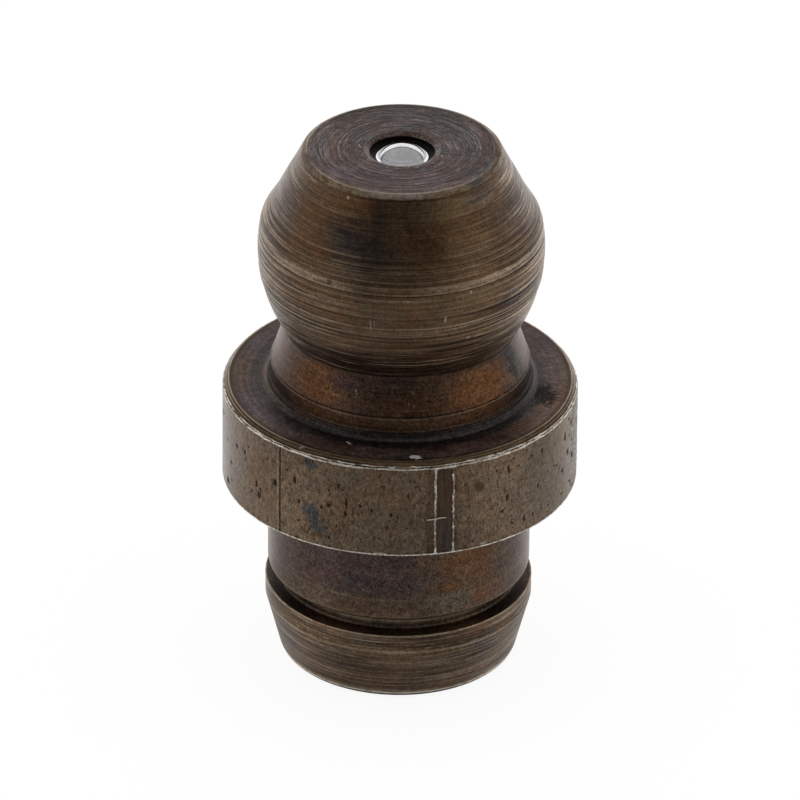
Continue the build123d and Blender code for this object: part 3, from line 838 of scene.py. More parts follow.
def mouth_marks(q):
    """The thin light line round the mouth of the inlet, a painted highlight on the lip's edge, and the dark one outside
    it.
    """
    g, rn = q["g"], q["rn"]
    t = g.add(q["radius"], g.mul(g.sub(rn(12.0, 0.0, 3.0, 0.65, 141.0), 0.5), 0.030))
    line = g.mul(band(g, t, 0.850, 0.868, 0.012), g.step(rn(9.0, 0.0, 3.0, 0.6, 142.0), 0.38, 0.56, 0.10, 0.75))
    dark = g.mul(band(g, t, 0.885, 0.902, 0.012), g.step(rn(8.0, 0.0, 3.0, 0.6, 143.0), 0.38, 0.56, 0.10, 0.60))
    dots = g.mul(g.step(g.noise(q["p"], 15.0, 2.0, 0.5), 0.635, 0.69), band(g, q["radius"], 0.80, 1.02, 0.05))
    dots = g.mul(dots, g.step(q["y"], 0.45, 0.15))
    q["col"] = g.mixc(g.mul(dots, 0.7), q["col"], (0.62, 0.57, 0.52))
    q["col"] = g.mixc(dark, q["col"], (0.018, 0.012, 0.010))
    # painted highlight on the lip's edge
    q["col"] = g.mixc(line, q["col"], (0.250, 0.215, 0.190))


def ring_marks(q):
    """Broken golden dashes along the barb ring, a painted highlight line near its foot and painted shade under it,
    towards the floor.
    """
    g, rn, z = q["g"], q["rn"], q["z"]
    outer = g.step(q["radius"], 2.45, 2.60)
    col = q["col"]
    for height, off, most in ((1.60, 119.0, 0.35), (1.50, 121.0, 0.60), (1.44, 123.0, 0.55), (1.38, 125.0, 0.65), (1.32, 127.0, 0.50), (0.80, 137.0, 0.35), (0.60, 129.0, 0.45), (0.47, 131.0, 0.50)):
        d = g.m("ABSOLUTE", g.sub(z, g.add(height, g.mul(g.sub(rn(5.0, 0.0, 2.0, 0.5, off), 0.5), 0.045))))
        dash = g.mul(g.step(d, 0.015, 0.004), g.step(rn(13.0, 0.0, 4.0, 0.75, off + 0.5), 0.48, 0.62))
        col = g.mixc(g.mul(g.mul(dash, most), outer), col, (0.54, 0.415, 0.25))
    # a painted highlight line near the foot and painted shade under it
    t = g.add(z, g.mul(g.sub(rn(10.0, 0.0, 3.0, 0.65, 133.0), 0.5), 0.020))
    foot = g.mul(g.mul(band(g, t, 0.118, 0.168, 0.014), outer), g.step(rn(14.0, 0.0, 3.0, 0.6, 135.0), 0.32, 0.50, 0.50, 1.0))
    under = g.mul(band(g, t, 0.060, 0.098, 0.014), outer)
    col = g.mixc(g.mul(under, 0.7), col, (0.020, 0.014, 0.012))
    q["col"] = g.mixc(foot, col, (0.86, 0.79, 0.68))


def head_marks(q):
    """Short light scratches up the head and a few dots."""
    g, flat = q["g"], q["flat"]
    f = g.v("ADD", flat, g.v("MULTIPLY", g.v("SUBTRACT", g.noise(q["p"], 9.0, 2.0, 0.5, color=True), (0.5, 0.5, 0.5)), (0.8, 0.05, 0.0)))
    marks = spots(g, f, [
        (-102.0, 9.94, 0.35, 0.16, 0.30, 0.5), (-72.0, 10.07, 0.45, 0.09, 0.45, 0.5), (-100.5, 10.00, 0.25, 0.10, 0.25, 0.5),
        (-121.0, 12.57, 0.7, 0.030, 0.7, 0.5), (-87.0, 10.59, 0.5, 0.022, 0.6, 0.5), (-61.0, 10.64, 0.6, 0.030, 0.6, 0.5), (-61.0, 9.44, 0.8, 0.022, 0.6, 0.5),
    ])
    q["col"] = g.mixc(marks, q["col"], (0.50, 0.45, 0.38))
    nick = spots(g, f, [(-120.0, 10.84, 1.3, 0.06, 0.7, 0.4), (-124.0, 11.31, 1.5, 0.02, 0.5, 0.5)])
    q["col"] = g.mixc(nick, q["col"], (0.040, 0.026, 0.020))


def collar_marks(q):
    """The seam, the two cuts, the stains and the worn edges of the collar's side."""
    g, flat, z, phi, rn, pn = q["g"], q["flat"], q["z"], q["phi"], q["rn"], q["pn"]
    wob = g.v("MULTIPLY", g.v("SUBTRACT", g.noise(q["p"], 12.0, 2.0, 0.5, color=True), (0.5, 0.5, 0.5)), (1.1, 0.10, 0.0))
    col = q["col"]
    # short dark and light flecks, most of them upright
    mark = pn(17.0, 2.0, 0.55, 60.0, 2.6)
    col = g.mixc(g.step(mark, 0.600, 0.655, 0.0, 0.72), col, (0.040, 0.025, 0.018))
    col = g.mixc(g.step(mark, 0.395, 0.33, 0.0, 0.40), col, (0.330, 0.250, 0.180))
    # between the two cuts the surface is brown with upright dark streaks, blue-grey low down
    upright = g.noise(g.v("MULTIPLY", q["p"], (19.0, 19.0, 1.3)), 1.0, 3.0, 0.6)
    low = g.step(g.add(z, g.mul(g.sub(pn(4.0, 3.0, 0.6, 62.0), 0.5), 1.4)), 5.85, 4.95)
    tint = g.mixc(low, (0.076, 0.044, 0.027), (0.062, 0.050, 0.041))
    tint = g.mixc(g.step(z, 6.45, 6.65, 0.0, 0.6), tint, (0.055, 0.046, 0.040))
    tint = g.scale(tint, g.lin(upright, 0.34, 0.66, 0.55, 1.30))
    col = g.mixc(g.mul(band(g, phi, CUT_A, CUT_B, 0.3), 0.88), col, tint)
    left = g.mul(band(g, g.add(phi, g.mul(g.sub(pn(5.0, 2.0, 0.5, 63.0), 0.5), 3.0)), -81.2, CUT_A - 0.3, 0.8), g.step(z, 4.4, 6.3, 0.70, 0.45))
    col = g.mixc(left, col, (0.064, 0.036, 0.024))
    right = g.mul(band(g, phi, CUT_B + 0.3, CUT_B + 1.4, 0.5), g.lin(pn(7.0, 2.0, 0.5, 65.0), 0.35, 0.65, 0.0, 0.6))
    col = g.mixc(right, col, (0.050, 0.032, 0.021))
    # the seam, dark, with a broken light line at its left
    d = g.m("ABSOLUTE", g.add(g.sub(phi, SEAM), g.mul(g.sub(pn(9.0, 2.0, 0.5, 67.0), 0.5), 0.45)))
    col = g.mixc(g.mul(g.step(d, 0.44, 0.16), g.lin(pn(6.0, 2.0, 0.5, 68.0), 0.3, 0.7, 0.55, 0.95)), col, (0.022, 0.014, 0.010))
    d = g.m("ABSOLUTE", g.add(g.sub(phi, SEAM - 0.9), g.mul(g.sub(pn(9.0, 2.0, 0.5, 69.0), 0.5), 0.5)))
    col = g.mixc(g.mul(g.step(d, 0.38, 0.14), g.step(pn(4.0, 2.0, 0.6, 71.0), 0.48, 0.64, 0.08, 0.60)), col, (0.36, 0.29, 0.22))
    # round stain
    stain = spots(g, g.v("ADD", flat, g.v("MULTIPLY", wob, (0.8, 0.8, 0.0))), [(-63.4, 6.09, 1.75, 0.135, 0.72, 0.30)])
    col = g.mixc(stain, col, (0.060, 0.029, 0.019))
    # two raised, torn cuts that flare where they meet the rim
    bright = g.mixc(g.step(pn(11.0, 3.0, 0.6, 73.0), 0.36, 0.62), (0.30, 0.215, 0.155), (0.88, 0.82, 0.74))
    flare = g.add(g.step(z, 6.62, 6.74, 0.0, 0.32), g.step(z, 4.62, 4.54, 0.0, 0.25))
    for centre, off, wide, ragged, low in ((CUT_A, 75.0, 0.32, 0.45, 0.70), (CUT_B, 79.0, 0.30, 0.85, 0.15)):
        sway = g.mul(g.sub(pn(5.0, 2.0, 0.6, off, 1.6), 0.5), 0.6)
        edge_n = g.mul(g.sub(pn(22.0, 2.0, 0.6, off + 1.0, 1.8), 0.5), ragged * 1.6)
        d = g.m("ABSOLUTE", g.add(g.sub(phi, centre), sway))
        hit = g.step(g.sub(g.add(d, edge_n), flare), wide + 0.12, wide - 0.12)
        hit = g.mul(hit, g.step(pn(9.0, 3.0, 0.62, off + 2.0, 1.5), 0.38, 0.54, low, 1.0))
        col = g.mixc(g.mul(hit, 0.92), col, bright)
        side = g.mul(g.step(g.sub(d, flare), wide + 0.65, wide + 0.10), g.sub(1.0, hit))
        col = g.mixc(g.mul(side, g.lin(pn(12.0, 2.0, 0.6, off + 3.0), 0.35, 0.65, 0.0, 0.80)), col, (0.030, 0.018, 0.012))
        q["height"] = g.add(q["height"], g.mul(hit, 1.8))
        q["rough"] = g.add(q["rough"], g.mul(hit, 0.10))
    # slanting scratch over the first cut, with its shadow
    path = g.add(g.sub(z, 5.452), g.mul(g.m("ABSOLUTE", g.add(phi, 76.2)), 0.0065))
    path = g.add(path, g.mul(g.sub(pn(14.0, 1.0, 0.5, 83.0), 0.5), 0.02))
    reach = band(g, phi, -80.9, -74.7, 0.5)
    scratch = g.mul(g.step(g.m("ABSOLUTE", path), 0.021, 0.009), reach)
    shade = g.mul(g.step(g.m("ABSOLUTE", g.sub(path, 0.031)), 0.022, 0.008), reach)
    col = g.mixc(g.mul(shade, 0.8), col, (0.020, 0.013, 0.010))
    col = g.mixc(g.mul(scratch, 0.9), col, (0.66, 0.60, 0.50))
    q["col"] = col
    worn_edges(q)


def worn_edges(q):
    """The torn bright lines at the collar's upper corner and the one at its foot. t runs over the bevel and down the side."""
    g, z, rn, phi = q["g"], q["z"], q["rn"], q["phi"]
    t = g.add(q["radius"], g.sub(6.90, z))
    slow, slow2, quick = rn(19.0, 0.0, 3.0, 0.65, 85.0), rn(23.0, 0.0, 3.0, 0.65, 86.0), rn(90.0, 4.0, 2.0, 0.6, 87.0)
    jit = g.mul(g.sub(quick, 0.5), 0.020)
    upper = g.add(4.118, g.add(g.mul(g.sub(slow, 0.5), 0.070), jit))
    lower = g.add(4.192, g.add(g.mul(g.sub(slow2, 0.5), 0.060), jit))
    gap = g.mul(g.step(g.sub(t, upper), 0.0, 0.014), g.step(g.sub(lower, t), 0.0, 0.014))
    q["col"] = g.mixc(g.mul(gap, g.step(rn(12.0, 0.0, 2.0, 0.6, 88.0), 0.35, 0.60, 0.35, 0.85)), q["col"], (0.030, 0.019, 0.013))
    w1 = g.lin(rn(4.0, 0.0, 3.0, 0.7, 89.0), 0.35, 0.65, 0.002, 0.029)
    w2 = g.lin(rn(5.0, 0.0, 3.0, 0.7, 90.0), 0.33, 0.65, 0.003, 0.035)
    one = g.mul(g.step(g.sub(g.m("ABSOLUTE", g.sub(t, upper)), w1), 0.011, -0.004), g.step(rn(9.0, 0.0, 3.0, 0.7, 91.0), 0.38, 0.45, 0.10, 1.0))
    two = g.mul(g.step(g.sub(g.m("ABSOLUTE", g.sub(t, lower)), w2), 0.011, -0.004), g.step(rn(12.0, 0.0, 3.0, 0.7, 92.0), 0.34, 0.42, 0.15, 1.0))
    # chips: thin closed outlines between and below the two
    chip = g.step(g.m("ABSOLUTE", g.sub(rn(17.0, 12.0, 1.0, 0.5, 93.0), 0.5)), 0.040, 0.012)
    chip = g.mul(g.mul(chip, band(g, t, 4.105, 4.225, 0.015)), g.step(rn(5.0, 0.0, 2.0, 0.6, 94.0), 0.45, 0.60, 0.15, 0.85))
    # a thin painted shadow under the lower torn line
    shade = g.mul(g.step(g.m("ABSOLUTE", g.sub(t, g.add(lower, 0.036))), 0.022, 0.006), g.step(slow, 0.40, 0.60, 0.10, 0.65))
    q["col"] = g.mixc(shade, q["col"], (0.034, 0.022, 0.015))
    worn = g.mixc(g.step(rn(14.0, 8.0, 3.0, 0.7, 95.0), 0.36, 0.62), (0.36, 0.285, 0.205), (0.90, 0.84, 0.75))
    hit = g.most(g.most(one, two), chip)
    q["col"] = g.mixc(g.mul(hit, 0.92), q["col"], worn)
    # foot
    c2 = g.add(4.523, g.mul(g.sub(rn(40.0, 0.0, 3.0, 0.65, 97.0), 0.5), 0.018))
    h2 = g.lin(rn(20.0, 0.0, 2.0, 0.6, 99.0), 0.3, 0.7, 0.016, 0.032)
    foot = g.step(g.sub(g.m("ABSOLUTE", g.sub(z, c2)), h2), 0.009, -0.005)
    foot = g.mul(foot, g.step(rn(26.0, 0.0, 2.0, 0.6, 101.0), 0.28, 0.44, 0.60, 1.0))
    lump = spots(g, g.xyz(phi, z, 0.0), [(-96.0, 4.550, 1.9, 0.038, 0.85, 0.35), (-62.0, 4.60, 1.2, 0.03, 0.3, 0.5)])
    above = g.mul(g.step(g.m("ABSOLUTE", g.sub(z, 4.580)), 0.026, 0.006), g.step(rn(34.0, 0.0, 2.0, 0.6, 103.0), 0.46, 0.60, 0.0, 0.70))
    q["col"] = g.mixc(above, q["col"], (0.030, 0.020, 0.014))
    q["col"] = g.mixc(g.mul(g.most(foot, lump), 0.92), q["col"], g.mixc(g.step(rn(45.0, 0.0, 2.0, 0.6, 105.0), 0.35, 0.6), (0.46, 0.39, 0.31), (0.90, 0.85, 0.77)))
    q["rough"] = g.add(q["rough"], g.mul(g.most(hit, foot), 0.08))
    q["height"] = g.add(q["height"], g.mul(hit, 1.2))


def rim_marks(q):
    """The thin light line where the bevel starts, the brown bevel with its dark line, then the torn edge."""
    g, rn = q["g"], q["rn"]
    t = g.add(q["radius"], g.sub(6.90, q["z"]))
    t = g.add(t, g.mul(g.sub(rn(14.0, 0.0, 3.0, 0.6, 107.0), 0.5), 0.020))
    col = g.mixc(g.mul(band(g, t, 3.950, 3.978, 0.012), g.step(rn(8.0, 0.0, 3.0, 0.6, 108.0), 0.32, 0.50, 0.45, 0.90)), q["col"], (0.022, 0.014, 0.009))
    inner = g.mul(band(g, t, 3.903, 3.924, 0.010), g.step(rn(8.0, 0.0, 3.0, 0.6, 109.0), 0.32, 0.52, 0.50, 1.0))
    col = g.mixc(inner, col, (0.52, 0.425, 0.31))
    thread = g.mul(band(g, t, 4.000, 4.014, 0.008), g.step(rn(7.0, 0.0, 2.0, 0.6, 110.0), 0.40, 0.58, 0.10, 0.75))
    col = g.mixc(thread, col, (0.30, 0.205, 0.105))
    col = g.mixc(g.mul(band(g, t, 4.026, 4.040, 0.010), g.step(rn(9.0, 0.0, 3.0, 0.6, 112.0), 0.38, 0.56, 0.10, 0.80)), col, (0.030, 0.018, 0.010))
    groove = g.mul(band(g, t, 4.070, 4.094, 0.012), g.step(rn(9.0, 0.0, 2.0, 0.6, 111.0), 0.32, 0.50, 0.55, 0.95))
    col = g.mixc(groove, col, (0.024, 0.015, 0.010))
    blob = spots(g, g.xyz(q["phi"], t, 0.0), [(-123.8, 3.935, 0.9, 0.045, 0.85, 0.5), (-124.3, 4.000, 0.7, 0.05, 0.6, 0.5)])
    q["col"] = g.mixc(g.mul(blob, g.step(q["pn"](16.0, 2.0, 0.6, 144.0), 0.36, 0.56)), col, (0.30, 0.285, 0.275))
    worn_edges(q)


def neck_marks(q):
    """Flecks on the neck."""
    g = q["g"]
    wall = spots(g, g.xyz(q["phi"], q["z"], 0.0), [(-111, 7.96, 0.20, 0.030, 0.45, 0.6), (-84, 7.99, 0.14, 0.036, 0.40, 0.6), (-86, 7.76, 0.14, 0.036, 0.40, 0.6), (-110.4, 7.90, 0.35, 0.012, 0.4, 0.6)])
    q["col"] = g.mixc(wall, q["col"], TONES["white"])
    soot = g.mul(spots(g, g.xyz(q["phi"], q["z"], 0.0), [(-24.0, 8.10, 4.6, 0.55, 1.0, 0.45)]), g.step(g.noise(q["p"], 9.0, 4.0, 0.72), 0.46, 0.56))
    q["col"] = g.mixc(g.mul(soot, 0.94), q["col"], (0.008, 0.006, 0.006))
    q["height"] = g.add(q["height"], g.mul(soot, 1.2))


def top_marks(q):
    """Flecks, the brown line inside the edge and the blistered spot on the collar's top."""
    g, rn = q["g"], q["rn"]
    pr = g.xyz(q["phi"], q["radius"], 0.0)
    radial = rn(24.0, 3.0, 3.0, 0.65, 145.0)
    q["col"] = g.scale(q["col"], g.lin(radial, 0.32, 0.68, 0.72, 1.30))
    ragged = g.v("MULTIPLY", g.v("SUBTRACT", g.noise(q["p"], 14.0, 2.0, 0.6, color=True), (0.5, 0.5, 0.5)), (3.2, 0.16, 0.0))
    rim = g.mul(band(g, g.add(q["radius"], g.mul(g.sub(rn(12.0, 0.0, 3.0, 0.65, 113.0), 0.5), 0.08)), 3.800, 3.885, 0.030), g.step(rn(4.0, 0.0, 2.0, 0.5, 115.0), 0.36, 0.58, 0.25, 0.85))
    q["col"] = g.mixc(rim, q["col"], (0.070, 0.034, 0.016))
    # blistered spot, black with rays of small reddish specks
    rays = g.noise(g.v("MULTIPLY", q["p"], (13.0, 8.0, 8.0)), 1.0, 4.0, 0.72)
    about = g.v("SUBTRACT", q["p"], (3.22, -0.72, 6.9))
    bx, by, _ = g.split(about)
    far = g.m("SQRT", g.add(g.mul(bx, bx), g.add(g.mul(by, by), 1e-6)))
    arms = g.noise(g.xyz(g.mul(g.m("DIVIDE", bx, far), 3.2), g.mul(g.m("DIVIDE", by, far), 3.2), g.mul(far, 0.7)), 1.0, 3.0, 0.65)
    reach = g.add(0.08, g.lin(arms, 0.36, 0.66, 0.0, 0.38))
    star = g.step(g.sub(g.add(far, g.mul(g.sub(rays, 0.5), 0.35)), reach), 0.03, -0.02)
    star = g.mul(star, g.step(g.noise(q["p"], 11.0, 3.0, 0.7), 0.62, 0.52, 0.45, 1.0))
    spot = g.most(g.mul(spots(g, pr, [(-13.0, 3.32, 8.5, 0.24, 1.0, 0.55), (-17.0, 3.50, 5.0, 0.16, 1.0, 0.55)]), g.step(rays, 0.44, 0.52)), star)
    q["col"] = g.mixc(g.mul(spot, 0.80), q["col"], (0.014, 0.009, 0.008))
    specks = g.mul(spots(g, pr, [(-15.0, 3.62, 8.0, 0.15, 1.0, 0.4)]), g.step(g.noise(q["p"], 17.0, 2.0, 0.6), 0.55, 0.64))
    q["col"] = g.mixc(g.mul(specks, 0.85), q["col"], (0.050, 0.022, 0.014))
    q["height"] = g.add(q["height"], g.mul(g.most(spot, specks), 1.8))
    q["rough"] = g.add(q["rough"], g.mul(spot, 0.2))
    slant = g.v("ADD", pr, g.xyz(0.0, g.mul(g.add(q["phi"], 110.0), -0.030), 0.0))
    flecks = g.most(spots(g, g.v("ADD", pr, ragged), [(-84.9, 3.72, 1.7, 0.070, 1.0, 0.14), (-83.6, 3.77, 1.2, 0.045, 1.0, 0.14)]), spots(g, slant, [(-110.3, 3.31, 1.3, 0.030, 0.85, 0.4)]))
    q["col"] = g.mixc(flecks, q["col"], TONES["white"])
    q["rough"] = g.add(q["rough"], g.mul(flecks, 0.3))


HEAD_CALM = [(-88, 12.00, 36, 0.95, 0.95, 0.45), (-88, 11.35, 34, 0.36, 0.80, 0.6), (-90, 12.1, 72, 0.85, 0.55, 0.25), (-136, 11.8, 22, 0.75, 0.70, 0.5), (-150, 12.2, 16, 0.5, 0.5, 0.5), (-62, 11.9, 16, 0.8, 0.35, 0.5), (-88, 10.15, 30, 0.75, 0.62, 0.6), (-90, 10.8, 34, 0.30, 0.62, 0.6), (88, 11.9, 30, 0.8, 0.6, 0.6)]
HEAD_PATCHES = [
    ("dusk", [(-90, 12.25, 600, 1.05, 0.48, 0.35)]),
    ("brown", [(-116, 12.30, 17, 0.60, 0.95, 0.5), (-136, 11.75, 15, 0.60, 0.85, 0.5), (-66, 11.75, 22, 0.80, 0.85, 0.5), (-92, 10.9, 20, 0.30, 0.5, 0.5), (-126, 10.25, 16, 0.35, 0.5, 0.5), (-58, 12.40, 14, 0.30, 0.8, 0.5), (-80, 9.0, 40, 0.45, 0.5, 0.5), (30, 11.2, 30, 0.7, 0.5, 0.5), (110, 10.4, 40, 0.6, 0.5, 0.5), (95, 12.1, 22, 0.5, 0.6, 0.5)]),
    ("gold", [(-70, 12.38, 17, 0.26, 0.62, 0.5), (-58, 11.55, 12, 0.45, 0.45, 0.5), (-74, 10.55, 40, 0.16, 0.55, 0.5), (-70, 9.80, 45, 0.12, 0.45, 0.5), (-126, 9.80, 20, 0.15, 0.40, 0.5), (-50, 9.55, 14, 0.35, 0.40, 0.5), (130, 9.9, 60, 0.2, 0.4, 0.5)]),
    ("violet", [(-41, 10.0, 8, 0.38, 0.80, 0.5), (-14, 11.6, 14, 0.8, 0.65, 0.5), (-163, 11.4, 14, 1.0, 0.60, 0.5), (-104, 9.0, 30, 0.20, 0.35, 0.5), (-150, 9.7, 18, 0.35, 0.5, 0.5), (-96, 8.6, 50, 0.12, 0.6, 0.5), (70, 11.7, 26, 0.4, 0.5, 0.5), (150, 9.6, 24, 0.5, 0.5, 0.5)]),
    ("steel", [(-47, 12.45, 8, 0.14, 0.5, 0.5), (45, 10.2, 20, 0.3, 0.4, 0.5), (170, 11.6, 20, 0.3, 0.5, 0.5)]),
    ("rust", [(-127, 11.33, 3.0, 0.06, 0.8, 0.5), (-131, 11.45, 2.0, 0.05, 0.6, 0.5), (-112, 12.1, 1.5, 0.05, 0.5, 0.5), (-118, 11.95, 6, 0.25, 0.45, 0.5), (-110, 12.50, 9, 0.10, 0.55, 0.5)]),
    # the soot patch at -101, 12.25, just under the edge band at the front, is painted shade
    ("soot", [(-116, 11.80, 12, 0.40, 1.0, 0.75), (-105, 11.58, 12, 0.48, 0.88, 0.7), (-101, 12.25, 5, 0.45, 0.75, 0.8), (-84, 12.35, 10, 0.25, 0.28, 0.8), (-104, 10.6, 6, 0.5, 0.35, 0.8)]),
    ("brown", [(-86, 11.85, 11, 0.50, 0.40, 0.6)]),
    ("pale", [(-136, 10.84, 16, 0.065, 0.75, 0.30), (-116, 10.78, 6, 0.045, 0.65, 0.40), (-46, 10.84, 24, 0.065, 0.80, 0.35), (-76, 10.84, 8, 0.045, 0.45, 0.4), (-128, 10.44, 9, 0.05, 0.35, 0.5), (90, 10.84, 70, 0.07, 0.5, 0.4)]),
]
NECK_PATCHES = [
    ("rust", [(-132, 7.85, 15, 0.45, 0.80, 0.5), (-50, 7.82, 18, 0.45, 1.0, 0.5), (-55, 7.28, 22, 0.14, 0.7, 0.5), (-128, 7.28, 18, 0.14, 0.5, 0.5), (60, 7.8, 30, 0.4, 0.6, 0.5), (150, 7.6, 25, 0.4, 0.6, 0.5)]),
    ("umber", [(-150, 7.7, 20, 0.6, 0.55, 0.5), (-20, 7.8, 18, 0.6, 0.35, 0.5)]),
    ("brown", [(-88, 7.72, 20, 0.30, 0.75, 0.6), (-92, 7.30, 40, 0.12, 0.45, 0.6)]),
    ("violet", [(-118, 8.05, 7, 0.18, 0.85, 0.4), (-92, 7.95, 17, 0.40, 0.20, 0.5), (-90, 7.0, 60, 0.10, 0.4, 0.5), (10, 7.9, 16, 0.3, 0.6, 0.5)]),
    ("slate", [(-75, 6.97, 95, 0.11, 0.85, 0.4), (120, 7.0, 60, 0.08, 0.5, 0.5)]),
    ("black", [(-24, 8.05, 3.6, 0.50, 1.0, 0.35), (-17, 7.6, 4, 0.25, 0.7, 0.5)]),
]
TOP_PATCHES = [
    # The two patches at the front of the collar's top (these first two rows) are painted light: they brighten it where
    # it reflects the dark head and neck.
    ("plum", [(-90, 3.55, 55, 0.5, 0.6, 0.5)]),
    ("haze", [(-90, 3.60, 54, 0.40, 0.92, 0.7)]),
    ("ember", [(-74, 3.42, 5, 0.18, 0.70, 0.6), (-112, 3.62, 14, 0.14, 0.25, 0.6), (-58, 3.66, 14, 0.14, 0.35, 0.6)]),
    ("mauve", [(-160, 3.60, 24, 0.30, 0.75, 0.5), (165, 3.6, 20, 0.3, 0.5, 0.5)]),
    ("russet", [(-22, 3.70, 22, 0.26, 0.95, 0.5), (4, 3.6, 14, 0.3, 0.6, 0.5), (-140, 3.82, 14, 0.08, 0.5, 0.5)]),
    ("brown", [(-176, 3.70, 9, 0.25, 0.60, 0.5), (172, 3.60, 10, 0.25, 0.75, 0.5), (-44, 3.62, 14, 0.22, 0.80, 0.5), (-14, 3.80, 16, 0.16, 0.9, 0.5), (60, 3.5, 25, 0.2, 0.4, 0.5)]),
    ("grey", [(-28, 3.66, 8, 0.14, 0.35, 0.4), (110, 3.5, 30, 0.3, 0.4, 0.5), (8, 3.6, 14, 0.3, 0.4, 0.5)]),
    ("umber", [(-75.5, 3.42, 4.5, 0.15, 0.75, 0.5), (-118, 3.55, 12, 0.2, 0.4, 0.5), (-55, 3.5, 8, 0.2, 0.4, 0.5)]),
    ("slate", [(-75, 3.18, 100, 0.17, 0.90, 0.30), (140, 3.25, 50, 0.15, 0.5, 0.5)]),
]
COLLAR_PATCHES = [
    ("brown", [(-140, 5.6, 9, 0.7, 0.30, 0.5), (-120, 4.75, 10, 0.15, 0.25, 0.5), (-112, 5.1, 7, 0.4, 0.25, 0.5), (-100, 5.9, 12, 0.5, 0.18, 0.5), (-68, 6.3, 4, 0.3, 0.20, 0.5), (-30, 5.2, 14, 0.4, 0.20, 0.5), (90, 5.6, 30, 0.6, 0.3, 0.5)]),
    ("steel", [(-120.3, 6.60, 2.6, 0.15, 1.0, 0.40), (-120.3, 5.40, 3.0, 0.16, 1.0, 0.40), (-118.0, 5.20, 2.6, 0.16, 0.95, 0.40), (-116.6, 4.95, 2.2, 0.13, 0.90, 0.40), (40, 5.6, 6, 0.3, 0.7, 0.4), (140, 6.0, 5, 0.25, 0.7, 0.4)]),
    ("umber", [(-122.5, 6.58, 3.0, 0.08, 0.50, 0.5), (-86, 5.5, 6, 0.5, 0.15, 0.5), (-116.0, 4.80, 3.0, 0.05, 0.5, 0.5), (20, 6.2, 8, 0.3, 0.3, 0.5)]),
    ("grey", [(-36, 5.30, 9, 0.55, 0.30, 0.5), (-164, 5.6, 10, 0.9, 0.40, 0.5), (-14, 5.7, 10, 0.9, 0.40, 0.5)]),
]
SHANK_PATCHES = [
    ("rust", [(-57, 3.50, 14, 0.50, 0.70, 0.5), (-66, 2.95, 9, 0.12, 0.70, 0.5), (80, 3.2, 25, 0.5, 0.6, 0.5), (-112, 2.45, 10, 0.12, 0.35, 0.5), (-50, 2.55, 10, 0.3, 0.5, 0.5)]),
    ("plum", [(-118, 3.5, 24, 0.7, 0.90, 0.5), (-95, 3.3, 14, 0.6, 0.75, 0.5), (-150, 3.4, 16, 0.8, 0.60, 0.5), (-22, 3.6, 14, 0.7, 0.8, 0.5), (160, 3.4, 25, 0.6, 0.6, 0.5)]),
    ("umber", [(-122, 4.15, 16, 0.20, 0.45, 0.5), (-78, 4.15, 10, 0.25, 0.5, 0.5), (-152, 3.3, 22, 1.3, 0.40, 0.5), (-30, 3.3, 20, 1.3, 0.40, 0.5)]),
    ("slate", [(-106, 3.0, 9, 0.35, 0.45, 0.6), (-90, 3.9, 9, 0.3, 0.5, 0.6)]),
    ("steel", [(30, 3.0, 15, 0.3, 0.5, 0.5)]),
    ("zinc", [(-67.5, 2.62, 10.5, 0.25, 0.95, 0.22)]),
    # the gold bands at height 2.30 are a painted highlight at the top of the shank's lower rounding
    ("gold", [(-100, 2.74, 30, 0.05, 0.25, 0.4), (-100, 2.30, 40, 0.05, 0.35, 0.4), (90, 2.30, 60, 0.05, 0.3, 0.4)]),
]
RING_PATCHES = [
    ("gold", [(-100, 1.30, 50, 0.35, 0.55, 0.5), (-70, 1.0, 30, 0.2, 0.4, 0.5), (90, 1.3, 70, 0.35, 0.5, 0.5)]),
    ("steel", [(-52, 1.25, 7, 0.30, 0.60, 0.5), (30, 1.0, 15, 0.3, 0.5, 0.5)]),
    ("plum", [(-50, 0.95, 10, 0.25, 0.55, 0.5), (-150, 0.9, 14, 0.30, 0.40, 0.5), (-112, 0.85, 16, 0.18, 0.45, 0.5)]),
    ("brown", [(-128, 1.45, 20, 0.15, 0.55, 0.5), (-80, 1.60, 16, 0.12, 0.45, 0.5), (-60, 1.0, 8, 0.2, 0.35, 0.5), (90, 1.4, 40, 0.2, 0.4, 0.5)]),
    ("pale", [(-100, 1.39, 28, 0.05, 0.65, 0.4), (90, 1.40, 70, 0.05, 0.3, 0.4)]),
]
FACE_PATCHES = [
    ("brown", [(-1.45, 0.15, 0.30, 0.65, 0.60, 0.5), (0.4, -1.7, 0.7, 0.2, 0.35, 0.5)]),
    ("violet", [(-0.3, -1.5, 1.4, 0.45, 0.35, 0.5), (0.2, 1.4, 1.3, 0.45, 0.35, 0.5)]),
    ("umber", [(1.9, 0.7, 0.45, 0.9, 0.40, 0.5), (-0.2, 1.75, 2.2, 0.85, 0.78, 0.6)]),
    ("steel", [(1.25, 0.2, 0.50, 0.9, 0.35, 0.5), (0.6, 1.2, 0.7, 0.4, 0.35, 0.5), (-1.2, -0.9, 0.5, 0.3, 0.3, 0.5)]),
]

